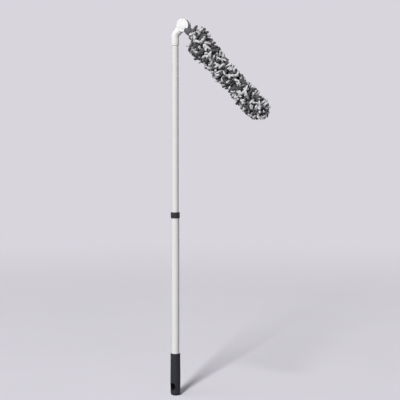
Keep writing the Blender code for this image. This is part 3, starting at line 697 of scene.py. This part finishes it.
def nearness(share, stretch_share):
    """1 at the start of a stretch, falling to 0 at its end and beyond."""
    return max(0.0, 1 - share / stretch_share)


print("head length", round(SLEEVE_END - SLEEVE_START, 4), "reach at the cuff", head_reach(SLEEVE_START))

# %% Copy a strand to its root
WHITE_SHARE = 0.50
STRAND_REACH = 0.0230
LENGTH_SPREAD_SHARE = 0.10
AWAY_SPREAD_SHARE = 0.4
PLANTING_SEED = 11
chance = random.Random(PLANTING_SEED)


def plant(root, out, reach, copies, girth=1.0, white_share=WHITE_SHARE,
          least_curl=0, curls_away=False):
    """Copies a strand to its root, its curl turned at random or away from the wand."""
    tone = "white" if chance.random() < white_share else "dark"
    template = chance.choice(templates[tone][least_curl:])
    piece = twin_of(template)
    angle = chance.uniform(0, 2 * math.pi)
    if curls_away:
        angle = (angle - math.pi) * AWAY_SPREAD_SHARE
    spin = Matrix.Rotation(angle, 4, "Z")
    size = reach / STRAND_REACH * chance.uniform(1 - LENGTH_SPREAD_SHARE, 1 + LENGTH_SPREAD_SHARE)
    turn_out = out.to_track_quat("Z", "Y").to_matrix().to_4x4()
    shape = Matrix.Diagonal((size * girth, size * girth, size, 1))
    piece.matrix_world = Matrix.Translation(root) @ turn_out @ shape @ spin
    copies.append(piece)


print("strands to copy from", sum(len(kinds) for kinds in templates.values()))


# %% How the pile leans and fills out
ROOT_DEPTH, ROOT_RISE, ROOT_SPREAD, CUFF_ROOT_LIFT = 0.001, 0.002, 0.002, 0.004
CUFF_SHARE, MOUTH_SHARE, END_SHARE = 0.14, 0.06, 0.10
CUFF_LEAN, ABOVE_LEAN, TIP_LEAN, LEAN_SPREAD = -32, 8, 4, 14
BELOW_LEAN, MOST_BELOW_LEAN, BELOW_MARGIN = 110, 87, 0.1
FULLNESS, SAG, CUFF_SAG, CUFF_THINNING = 1.08, 0.13, 0.20, 0.04
END_THINNING, MOUTH_THINNING = 0.08, 0.25
STRAY_SHARE, STRAY_LENGTH, STRAY_GIRTH = 0.05, 1.12, 0.5
AROUND_SPREAD = 0.25
FAR_BACK = math.radians(-20)


def ring_lean(below, share):
    """Degrees by which a strand leans to the tip: back over the hinge above, and forward below."""
    forward = min(MOST_BELOW_LEAN, BELOW_LEAN * max(0.0, below + BELOW_MARGIN))
    at_cuff = nearness(share, CUFF_SHARE)
    return at_cuff * (forward + ABOVE_LEAN * max(0.0, -below) + CUFF_LEAN) + TIP_LEAN * share


def ring_fullness(below, share):
    """The share of the head's reach that the pile fills, which hangs lower where it is heavy."""
    at_cuff = nearness(share, CUFF_SHARE)
    fullness = FULLNESS + (SAG - CUFF_SAG * at_cuff) * below
    fullness -= CUFF_THINNING * at_cuff + END_THINNING * nearness(1 - share, END_SHARE)
    return fullness - MOUTH_THINNING * nearness(share, MOUTH_SHARE) * max(0.0, below)


def around_ring(i, count, start=0.0):
    """The angle of a strand in a ring of evenly spaced ones, each a little out of place."""
    return 2 * math.pi * (i + start + chance.uniform(-AROUND_SPREAD, AROUND_SPREAD)) / count


print("lean at the cuff, above and below", ring_lean(-1, 0), ring_lean(1, 0))

# %% Plant the rings of strands
RING_STEP = 0.0072
STRANDS_A_RING = 14
pile_copies = [[] for _ in range(SLICES + 1)]
ring_count = round((SLEEVE_END - SLEEVE_START) / RING_STEP)
for ring in range(ring_count):
    height = SLEEVE_START + (ring + 0.5) * (SLEEVE_END - SLEEVE_START) / ring_count
    share = (height - SLEEVE_START) / (SLEEVE_END - SLEEVE_START)
    copies = pile_copies[min(int(share * SLICES), SLICES - 1)]
    for i in range(STRANDS_A_RING):
        around = around_ring(i, STRANDS_A_RING, start=ring % 2 / 2)
        below = math.cos(around)
        outward = outward_at(around)
        tilt = math.radians(ring_lean(below, share) + chance.uniform(-LEAN_SPREAD, LEAN_SPREAD))
        lift = CUFF_ROOT_LIFT * nearness(share, CUFF_SHARE) * max(0.0, below)
        lift += chance.uniform(-ROOT_SPREAD, ROOT_SPREAD)
        root_radius = BACKING_RADIUS - ROOT_DEPTH + ROOT_RISE * abs(math.sin(tilt))
        root = outward * root_radius + up * (height + lift)
        reach = (head_reach(height) - BACKING_RADIUS) * ring_fullness(below, share)
        stray = chance.random() < STRAY_SHARE
        plant(root, leaning(outward, tilt), reach * (STRAY_LENGTH if stray else 1), copies,
              girth=STRAY_GIRTH if stray else 1.0, curls_away=tilt < FAR_BACK)
print("strands in rings", [len(copies) for copies in pile_copies])

# %% Fan strands out round the tip
TIP_RINGS = ((10, 13), (30, 11), (50, 8), (70, 4), (90, 1))
TIP_SPREAD = 6
TIP_FULLNESS, TIP_SAG, TIP_FLATNESS = 0.93, 0.10, 0.30
for latitude, count in TIP_RINGS:
    for i in range(count):
        around = around_ring(i, count)
        level = math.radians(latitude + chance.uniform(-TIP_SPREAD, TIP_SPREAD))
        out = leaning(outward_at(around), level)
        root = up * SLEEVE_END + out * (BACKING_RADIUS - ROOT_DEPTH)
        fullness = TIP_FULLNESS + TIP_SAG * math.cos(around) - TIP_FLATNESS * math.sin(level)
        plant(root, out, (head_reach(SLEEVE_END) - BACKING_RADIUS) * fullness, pile_copies[SLICES])
print("strands round the tip", len(pile_copies[SLICES]))

# %% Lean rows back over the hinge
# Each row has its count of strands, half its spread and its lean in degrees, its reach, and its
# share of white ones.
BACK_ROWS = (
    (15, 86, -28, 0.0200, 0.5),
    (13, 82, -44, 0.0190, 0.5),
    (7, 72, -66, 0.0175, 1.0),
)
BACK_AROUND_SPREAD, BACK_LEAN_SPREAD = 6, 7
BACK_ROOT_RADIUS, BACK_ROOT_HEIGHT = BACKING_RADIUS + 0.0008, SLEEVE_START + 0.001
CURLIEST = 2
for count, spread, lean, reach, white_share in BACK_ROWS:
    for i in range(count):
        place = 180 - spread + 2 * spread * i / (count - 1)
        around = math.radians(place + chance.uniform(-BACK_AROUND_SPREAD, BACK_AROUND_SPREAD))
        tilt = math.radians(lean + chance.uniform(-BACK_LEAN_SPREAD, BACK_LEAN_SPREAD))
        outward = outward_at(around)
        root = outward * BACK_ROOT_RADIUS + up * BACK_ROOT_HEIGHT
        plant(root, leaning(outward, tilt), reach, pile_copies[0], white_share=white_share,
              least_curl=CURLIEST, curls_away=True)
print("strands", [len(copies) for copies in pile_copies])

# %% Join each stretch and turn it down into place
for number, copies in enumerate(pile_copies):
    let_go()
    for piece in copies:
        piece.select_set(True)
    lead = copies[0]
    bpy.context.view_layer.objects.active = lead
    bpy.ops.object.join()
    replaced = "sleeve_tip" if number == SLICES else f"sleeve_slice_{number + 1}"
    lead.name = "pile_tip" if number == SLICES else f"pile_{number + 1}"
    place_mesh(lead, head_place @ lead.matrix_world)
    settle(lead, "sleeve", None, replaced)
for tone in templates:
    for piece in templates[tone]:
        bpy.data.objects.remove(piece, do_unlink=True)

# %% [markdown]
# The backing
#
# The strands are sewn to a tube of knitted cloth with a domed end. Its dark grey is painted shade,
# so it shows between the strands as darkness. A dark surface round the wand would do while the
# sleeve is on, but it is one turned shell with a wall, so that the sleeve is whole when it is pulled
# off.

# %% Backing tube
SLEEVE_BORE = 0.0093
DOME_START, DOME_END, DOME_STEPS = 2, 84, 8
backing_profile = [(SLEEVE_BORE, SLEEVE_START), (BACKING_RADIUS, SLEEVE_START)]
backing_profile += arc((0, SLEEVE_END), BACKING_RADIUS, DOME_START, DOME_END, DOME_STEPS)
backing_profile += arc((0, SLEEVE_END), SLEEVE_BORE, DOME_END, DOME_START, DOME_STEPS)
backing = turned("sleeve_backing", backing_profile, sides=40, ring=True)
shade_smooth(backing, 50)
place_mesh(backing, head_place)
settle(backing, "sleeve", shade_dark_backing)

# %% [markdown]
# The cuff
#
# The sleeve's mouth is an elastic hem that grips the wand. A displaced torus would have gathers
# of any size, but a turned ring keeps them even: every other row of points round it is widened,
# and smooth shading keeps them soft.

# %% Cuff
CUFF_FOOT, CUFF_TOP = 0.0412, 0.0458
CUFF_SIDES = 72
CUFF_BULGE = 0.0034
GATHERED_OVER = 0.0005
GATHER_WIDENING = 1.04
cuff_middle = (CUFF_FOOT + CUFF_TOP) / 2
cuff_half = (CUFF_TOP - CUFF_FOOT) / 2
bulge = arc((SLEEVE_BORE, cuff_middle), CUFF_BULGE, 80, -80, 6, rise=cuff_half)
cuff_profile = [(SLEEVE_BORE, CUFF_TOP)] + bulge + [(SLEEVE_BORE, CUFF_FOOT)]
cuff = turned("cuff", cuff_profile, sides=CUFF_SIDES, ring=True)


def on_a_gather(spot):
    row = round(math.atan2(spot.y, spot.x) / (2 * math.pi) * CUFF_SIDES)
    return spot.xy.length > SLEEVE_BORE + GATHERED_OVER and row % 2 == 0


choose(cuff, "VERT", on_a_gather)
widen(GATHER_WIDENING, GATHER_WIDENING, cuff_middle)
end_edit()
shade_smooth(cuff, 60)
place_mesh(cuff, head_place)
settle(cuff, "sleeve", dark_yarn, "sleeve_cuff")

# %% [markdown]
# The grip
#
# The grip is one dark moulding: a flat foot, a rounded heel, a slight barrel belly, and a mouth
# that the tube is pushed into. A hanging slot goes through near the foot. It could be drawn out of
# one box, but turning the body, and cutting the slot and the heel's slope with booleans, keeps
# each step simple and exact. A bevel rounds every edge that they leave.

# %% Grip body
GAP = 0.0003
FOOT_RADIUS, HEEL_RADIUS, GRIP_RADIUS, MOUTH_RADIUS = 0.0088, 0.0137, 0.01415, 0.0137
HEEL_HEIGHT, BELLY_HEIGHT = 0.0085, 0.045
MOUTH_ROUND, MOUTH_CHAMFER = 0.0008, 0.0004
LOWER_RADIUS = 0.011
HEEL_STEPS, BELLY_STEPS = 8, 10
grip_top = top_of("grip")
seat_floor = foot_of("tube_plug") - GAP
tube_seat = LOWER_RADIUS + GAP
heel_round = HEEL_RADIUS - FOOT_RADIUS
heel = arc((FOOT_RADIUS, HEEL_HEIGHT), heel_round, -90, 0, HEEL_STEPS, rise=HEEL_HEIGHT)
belly = []
for first, last, low, high in (
    (HEEL_RADIUS, GRIP_RADIUS, HEEL_HEIGHT, BELLY_HEIGHT),
    (GRIP_RADIUS, MOUTH_RADIUS, BELLY_HEIGHT, grip_top - MOUTH_ROUND),
):
    for i in range(1, BELLY_STEPS + 1):
        rise = (1 - math.cos(math.pi * i / BELLY_STEPS)) / 2
        belly.append((first + (last - first) * rise, low + (high - low) * i / BELLY_STEPS))
mouth = arc((MOUTH_RADIUS - MOUTH_ROUND, grip_top - MOUTH_ROUND), MOUTH_ROUND, 0, 90, 4)[1:]
throat = [(tube_seat + MOUTH_CHAMFER, grip_top), (tube_seat, grip_top - MOUTH_CHAMFER)]
throat += [(tube_seat, seat_floor)]
grip = turned("handle_grip", heel + belly + mouth + throat)
print("grip body faces", len(grip.data.polygons))


# %% Cut the slot
def cut_with(piece, cutter, operation="DIFFERENCE"):
    apply_modifier(piece, "cut", "BOOLEAN", object=cutter, operation=operation, solver="MANIFOLD")
    bpy.data.objects.remove(cutter, do_unlink=True)


SLOT_TURN = math.radians(-14)
SLOT_FLOOR = 0.0136
SLOT_WIDTH = 0.0164
SLOT_HEIGHT = 0.022
SLOT_CUTTER_LENGTH = 0.036
slot_middle = SLOT_FLOOR + SLOT_HEIGHT / 2
half_straight = (SLOT_HEIGHT - SLOT_WIDTH) / 2
let_go()
bpy.ops.mesh.primitive_cylinder_add(
    vertices=44, radius=SLOT_WIDTH / 2, depth=SLOT_CUTTER_LENGTH, location=(0, 0, slot_middle),
    rotation=(math.radians(90), 0, 0),
)
cutter = bpy.context.object
bpy.ops.object.transform_apply(location=True, rotation=True, scale=False)
for side in (1, -1):
    choose(cutter, "VERT", lambda spot: side * (spot.z - slot_middle) > 0)
    bpy.ops.transform.translate(value=(0, 0, side * half_straight))
    end_edit()
place_mesh(cutter, Matrix.Rotation(SLOT_TURN, 4, "Z"))
cut_with(grip, cutter)
print("grip faces with the slot", len(grip.data.polygons))

# %% Slope the heel
SLOPE_HEIGHT, SLOPE_DEPTH = 0.0095, 0.0058
BLOCK_SIDE, BLOCK_THICKNESS = 0.04, 0.01
GRIP_ROUND = 0.0006
let_go()
bpy.ops.mesh.primitive_cube_add(size=1, location=(0, 0, 0))
cutter = bpy.context.object
slope = math.atan2(SLOPE_DEPTH, SLOPE_HEIGHT)
place_mesh(
    cutter,
    Matrix.Rotation(SLOT_TURN, 4, "Z")
    @ Matrix.Translation((0, -GRIP_RADIUS, SLOPE_HEIGHT))
    @ Matrix.Rotation(slope, 4, "X")
    @ Matrix.Translation((0, -BLOCK_THICKNESS / 2, 0))
    @ Matrix.Diagonal((BLOCK_SIDE, BLOCK_THICKNESS, BLOCK_SIDE, 1)),
)
cut_with(grip, cutter)
soften(grip, GRIP_ROUND, segments=3, angle=38)
settle(grip, "base", finishes["dark_grip"], "grip")

# %% Darken the slot's wall as painted shade
SLOT_RIM = 0.001
SLOT_WALL_RADIUS = 0.0120
grip.data.materials.append(slot_painted_shade)
inside_slot = 0
for face in grip.data.polygons:
    above_floor = face.center.z - SLOT_FLOOR
    if -SLOT_RIM < above_floor < SLOT_HEIGHT + SLOT_RIM and face.center.xy.length < SLOT_WALL_RADIUS:
        face.material_index = 1
        inside_slot += 1
print("faces inside the slot", inside_slot)

# %% [markdown]
# The tubes and the collar
#
# Each tube is thin steel, and the collar is a moulded ring that is pushed over the lower tube's
# mouth, whose lip guides the upper tube. A cylinder with a Solidify modifier would make a tube
# too, but a closed wall that is turned gets its softened ends in the same step.

# %% Tubes
UPPER_RADIUS = 0.0095
TUBE_WALL, TUBE_ROUND = 0.0008, 0.0002
for name, solid, radius, body in (
    ("lower_pole_tube", "lower_tube", LOWER_RADIUS, "base"),
    ("upper_pole_tube", "upper_tube", UPPER_RADIUS, "upper"),
):
    low, high, edge, bore = foot_of(solid), top_of(solid), TUBE_ROUND, radius - TUBE_WALL
    wall = [(bore, high - edge), (bore + edge, high), (radius - edge, high), (radius, high - edge)]
    wall += [(radius, low + edge), (radius - edge, low), (bore + edge, low), (bore, low + edge)]
    tube = turned(name, wall, ring=True)
    shade_smooth(tube, 30)
    settle(tube, body, finishes["white_painted_metal"], solid)

# %% Collar
COLLAR_RADIUS, COLLAR_ROUND = 0.0127, 0.0009
LIP_HEIGHT, LIP_CHAMFER = 0.003, 0.0005
collar_foot, collar_top = foot_of("guide_collar"), top_of("guide_collar")
round_middle = COLLAR_RADIUS - COLLAR_ROUND
lip_radius, lip_foot = UPPER_RADIUS + GAP, collar_top - LIP_HEIGHT
outside = arc((round_middle, collar_top - COLLAR_ROUND), COLLAR_ROUND, 90, 0, 5)
outside += arc((round_middle, collar_foot + COLLAR_ROUND), COLLAR_ROUND, 0, -90, 5)
inside = [(tube_seat, collar_foot), (tube_seat, lip_foot), (lip_radius, lip_foot)]
inside += [(lip_radius, collar_top - LIP_CHAMFER), (lip_radius + LIP_CHAMFER, collar_top)]
collar = turned("collar", outside + inside, ring=True)
shade_smooth(collar, 35)
settle(collar, "base", finishes["black_plastic"], "guide_collar")

# %% [markdown]
# The neck
#
# The neck steps out over the upper tube, bends 45 degrees and ends in a fork of two round cheeks.
# A thick curve would give the bend but no arm that turns from oval to round. So it is modelled
# along its own arm: an oval face at the hinge is drawn out and rounded to the bend, spun through
# it, and drawn straight to the rim. A bevelled disc is joined on for the hub, and the tube's
# socket, the fork, and the seats of bolt, nut and covers are cut away.

# %% Neck arm
NECK_BEND = math.radians(45)
BEND_RADIUS = 0.022
ARM_HALF_WIDTH, ARM_HALF_DEPTH = 0.0129, 0.0096
NECK_RADIUS, RIM_RADIUS, RIM_HEIGHT = 0.011, 0.0104, 0.0006
ARM_STEPS, BEND_STEPS = 6, 10
bend_tangent = BEND_RADIUS * math.tan(NECK_BEND / 2)
elbow_height = pivot.z - pivot.x / math.tan(NECK_BEND)
arm_run = pivot.x / math.sin(NECK_BEND) - bend_tangent
sleeve_run = elbow_height - bend_tangent - foot_of("neck")
let_go()
bpy.ops.mesh.primitive_circle_add(vertices=56, radius=NECK_RADIUS, fill_type="NGON")
neck = bpy.context.object
neck.name = "bent_neck"
open_whole(neck, "FACE")
wide, deep = ARM_HALF_WIDTH, ARM_HALF_DEPTH
widen(wide / NECK_RADIUS, deep / NECK_RADIUS, 0)
for i in range(1, ARM_STEPS + 1):
    share = i / ARM_STEPS
    ease = (1 - math.cos(math.pi * share)) / 2
    draw_out((0, 0, arm_run / ARM_STEPS))
    next_wide = ARM_HALF_WIDTH + (NECK_RADIUS - ARM_HALF_WIDTH) * ease
    next_deep = ARM_HALF_DEPTH + (NECK_RADIUS - ARM_HALF_DEPTH) * ease
    widen(next_wide / wide, next_deep / deep, arm_run * share)
    wide, deep = next_wide, next_deep
print("arm runs", round(arm_run, 5), "m and ends", round(2 * wide, 5), "m wide")

# %% Bend it and draw it down to the rim
bpy.ops.mesh.spin(
    steps=BEND_STEPS, angle=NECK_BEND, center=(-BEND_RADIUS, 0, arm_run), axis=(0, 1, 0)
)
end_edit()
bend_end = [v.co.copy() for v in neck.data.vertices if v.select]
bend_end = sum(bend_end, Vector()) / len(bend_end)
print("bend ends at", [round(c, 5) for c in bend_end])
on_down = Vector((-math.sin(NECK_BEND), 0, math.cos(NECK_BEND)))
start_edit("FACE")
for run in (sleeve_run - RIM_HEIGHT, RIM_HEIGHT):
    draw_out(on_down * run)
rim = bend_end + on_down * sleeve_run
bpy.ops.transform.resize(value=(RIM_RADIUS / NECK_RADIUS,) * 3, center_override=tuple(rim))
end_edit()
face_outwards(neck)
place_mesh(neck, Matrix.Translation(pivot) @ Matrix.Rotation(math.pi + NECK_BEND, 4, "Y"))
print("neck rim at", round(min(v.co.z for v in neck.data.vertices), 5))


# %% Round cutters
def round_bar(radius, start, end, axis, sides=ROUND_SIDES, at=pivot):
    """A bar along the hinge's Y axis or along Z, between two places counted from a point."""
    let_go()
    middle = (start + end) / 2
    lying = axis == "Y"
    shift = Vector((0, middle, 0)) if lying else Vector((0, 0, middle))
    bpy.ops.mesh.primitive_cylinder_add(
        vertices=sides, radius=radius, depth=end - start, location=at + shift,
        rotation=(math.radians(90), 0, 0) if lying else (0, 0, 0),
    )
    made = bpy.context.object
    bpy.ops.object.transform_apply(location=True, rotation=True, scale=False)
    return made


print("cutters have", ROUND_SIDES, "sides")

# %% Join the hub and cut the seats
OVERRUN, HUB_SIDES = 0.004, 80
HUB_RADIUS, HUB_ROUND, NECK_ROUND = 0.018, 0.0011, 0.00035
CHEEK_IN, CHEEK_OUT, CUTTER_END = 0.0054, 0.0105, 0.016
COVER_SEAT, COVER_SEAT_RADIUS = 0.0095, 0.0113
BOLT_SEAT, BOLT_SEAT_RADIUS = 0.0070, 0.0082
BOLT_HOLE_RADIUS, RIVET_HOLE_RADIUS = 0.0033, 0.0016
socket_foot, socket_top = foot_of("neck") - OVERRUN, top_of("upper_tube") + GAP
cut_with(neck, round_bar(UPPER_RADIUS + GAP, socket_foot, socket_top, "Z", at=Vector()))
hub = round_bar(HUB_RADIUS, -CHEEK_OUT, CHEEK_OUT, "Y", sides=HUB_SIDES)
soften(hub, HUB_ROUND, segments=4, angle=60)
cut_with(neck, hub, "UNION")
cut_with(neck, round_bar(HUB_RADIUS + GAP, -CHEEK_IN, CHEEK_IN, "Y", sides=HUB_SIDES))
for side in (-1, 1):
    for radius, seat in ((COVER_SEAT_RADIUS, COVER_SEAT), (BOLT_SEAT_RADIUS, BOLT_SEAT)):
        ends = sorted((side * seat, side * CUTTER_END))
        cut_with(neck, round_bar(radius, *ends, "Y"))
cut_with(neck, round_bar(BOLT_HOLE_RADIUS, -CUTTER_END, CUTTER_END, "Y", sides=32))
rivet_at = Vector((0, 0, (foot_of("neck_rivet") + top_of("neck_rivet")) / 2))
cut_with(neck, round_bar(RIVET_HOLE_RADIUS, 0.0, CUTTER_END, "Y", sides=24, at=rivet_at))
soften(neck, NECK_ROUND, segments=2, angle=42)
settle(neck, "upper", finishes["white_plastic"], "neck")

# %% [markdown]
# The hub covers
#
# A shallow crowned cap snaps into each cheek and hides the bolt's head or the nut. A flattened
# sphere would have no rim, so the cap is turned, hollow behind, and the rear one is a copy turned
# to face back.

# %% Covers
COVER_RADIUS, HOLLOW_RADIUS, HOLLOW_TOP_RADIUS = 0.011, 0.0082, 0.0072
RIM_FOOT, HOLLOW_TOP, RIM_TOP, CROWN_TOP = 0.0098, 0.0106, 0.0108, 0.0116
crown = arc((0, RIM_TOP), COVER_RADIUS, 86, 0, 8, rise=CROWN_TOP - RIM_TOP)
hollow = [(COVER_RADIUS, RIM_FOOT), (HOLLOW_RADIUS, RIM_FOOT), (HOLLOW_TOP_RADIUS, HOLLOW_TOP)]
cover = turned("front_cover", crown + hollow)
shade_smooth(cover, 40)
rear = twin_of(cover)
rear.name = "rear_cover"
for piece, quarter, solid in ((cover, 90, "hub_cover_front"), (rear, -90, "hub_cover_rear")):
    place_mesh(piece, Matrix.Translation(pivot) @ Matrix.Rotation(math.radians(quarter), 4, "X"))
    settle(piece, "upper", finishes["white_plastic"], solid)

# %% [markdown]
# The knuckle
#
# The grey knuckle swings with the head: its tongue turns between the cheeks and its ears lie over
# their faces. It could be modelled again, but the solid's shape is right, so a copy of it is
# merged, its flat faces are joined up again, and its edges are rounded as a moulding's are.

# %% Knuckle
KNUCKLE_ROUND = 0.0004
let_go()
knuckle = twin_of(nodes["knuckle"])
knuckle.parent = None
knuckle.name = "hinge_knuckle"
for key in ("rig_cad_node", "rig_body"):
    if key in knuckle:
        del knuckle[key]
knuckle.matrix_world = Matrix.Identity(4)
open_whole(knuckle, "FACE")
bpy.ops.mesh.customdata_custom_splitnormals_clear()
bpy.ops.mesh.remove_doubles(threshold=WELD)
bpy.ops.mesh.dissolve_limited(angle_limit=math.radians(1))
end_edit()
soften(knuckle, KNUCKLE_ROUND, segments=2, angle=35)
settle(knuckle, "head", finishes["grey_plastic"], "knuckle")

# %% [markdown]
# Stage and light
#
# The duster stands on a pale floor that fades into a pale room. The floor near it is plain paper
# that takes its shadow. Further off, rays from the camera see the room's own tone, so no horizon
# shows, and so do rays that glance off metal. The paper is darker to all other rays, so that it
# doesn't light the pole's far side. The key light is a tall strip far behind the camera, a little
# to its left: along the upright pole it keeps the shadow a narrow wedge that falls to the back
# right, and it smears the slanting head's shadow away. A low, broad fill lights the left edges.
# A level light from behind shows the duster's back to other views and leaves the floor alone.

# %% Floor
ROOM = (0.690, 0.665, 0.722)
PAPER_TO_LAMPS, PAPER_TO_CAMERA = (0.22, 0.215, 0.225, 1), (0.885, 0.86, 0.93, 1)
FLOOR_SIZE, MOTTLE_SCALE = 60, 2.0
FADE_START, FADE_END = 1.9, 4.3
let_go()
bpy.ops.mesh.primitive_grid_add(
    x_subdivisions=8, y_subdivisions=8, size=FLOOR_SIZE, location=(0, 0, 0)
)
floor = bpy.context.object
floor.name = "paper_floor"
print("floor faces", len(floor.data.polygons))


# %% Paper that fades into the room
def seen_by_camera(tree):
    """1 for rays from the camera and for those it sees in gloss or glass, 0 for the rest."""
    path = add(tree, "ShaderNodeLightPath")
    seen = math_node(tree, "ADD", path.outputs["Is Camera Ray"], path.outputs["Is Glossy Ray"])
    return math_node(tree, "ADD", seen, path.outputs["Is Transmission Ray"], clamp=True)


paper, tree, shader = new_material("pale paper floor")
where = add(tree, "ShaderNodeTexCoord").outputs["Object"]
away = add(tree, "ShaderNodeVectorMath", {0: where}, operation="LENGTH").outputs["Value"]
mottle = stretch(tree, noise(tree, where, MOTTLE_SCALE, detail=3.0), 0.3, 0.7, 0.99, 1.01)
paper_tone = blend_colours(tree, seen_by_camera(tree), PAPER_TO_LAMPS, PAPER_TO_CAMERA)
feed(tree, shader, {
    "Base Color": scaled(tree, paper_tone, mottle), "Roughness": 0.95, "Specular IOR Level": 0.0,
})
fade = add(
    tree, "ShaderNodeMapRange", {"Value": away, "From Min": FADE_START, "From Max": FADE_END},
    interpolation_type="SMOOTHSTEP", clamp=True,
).outputs["Result"]
room_tone = add(tree, "ShaderNodeEmission", {"Color": (*ROOM, 1), "Strength": 1.0})
mixed = add(tree, "ShaderNodeMixShader", {
    0: times(tree, fade, seen_by_camera(tree)),
    1: shader.outputs["BSDF"], 2: room_tone.outputs["Emission"],
})
feed(tree, tree.nodes["Material Output"], {"Surface": mixed.outputs["Shader"]})
floor.data.materials.append(paper)
print("paper nodes", len(tree.nodes))

# %% Room
SKY_COLOUR, SKY_LEVEL = (0.98, 0.97, 1.0, 1), 0.05
world = bpy.data.worlds.new("pale room")
scene.world = world
world.use_nodes = True
tree = world.node_tree
plain = tree.nodes["Background"]
feed(tree, plain, {"Color": SKY_COLOUR, "Strength": SKY_LEVEL})
shown = add(tree, "ShaderNodeBackground", {"Color": (*ROOM, 1), "Strength": 1.0})
mixed = add(tree, "ShaderNodeMixShader", {
    0: seen_by_camera(tree), 1: plain.outputs["Background"], 2: shown.outputs["Background"],
})
feed(tree, tree.nodes["World Output"], {"Surface": mixed.outputs["Shader"]})
print("room nodes", len(tree.nodes))

# %% Lamps
MIDDLE_HEIGHT = 0.5
STRIP_DISTANCE, SUN_DISTANCE = 40.0, 3.0
STRIP_WIDTH_SHARE, STRIP_HEIGHT_SHARE = 0.10, 0.80
KEY_LEVEL, FILL_LEVEL, BACK_LEVEL = 3.07, 1.5, 2.2


def aim(name, kind, left, rise, distance):
    """A lamp that faces the duster's middle, so far left of the camera and above level in degrees."""
    light = bpy.data.lights.new(name, kind)
    lamp = bpy.data.objects.new(name, light)
    scene.collection.objects.link(lamp)
    left, rise = math.radians(left), math.radians(rise)
    flat = to_camera * math.cos(left) - to_right * math.sin(left)
    source = flat * math.cos(rise) + up * math.sin(rise)
    lamp.rotation_euler = (-source).to_track_quat("-Z", "Y").to_euler()
    lamp.location = source * distance + up * MIDDLE_HEIGHT
    return light


strip = aim("key strip", "AREA", left=13, rise=38, distance=STRIP_DISTANCE)
strip.shape = "RECTANGLE"
strip.size = STRIP_WIDTH_SHARE * STRIP_DISTANCE
strip.size_y = STRIP_HEIGHT_SHARE * STRIP_DISTANCE
strip.energy = KEY_LEVEL * math.pi * STRIP_DISTANCE ** 2
window = aim("side fill", "SUN", left=62, rise=14, distance=SUN_DISTANCE)
window.angle = math.radians(90)
window.energy = FILL_LEVEL
back = aim("back light", "SUN", left=180, rise=0, distance=SUN_DISTANCE)
back.angle = math.radians(8)
back.energy = BACK_LEVEL

# %% Output look
scene.view_settings.view_transform = "Standard"
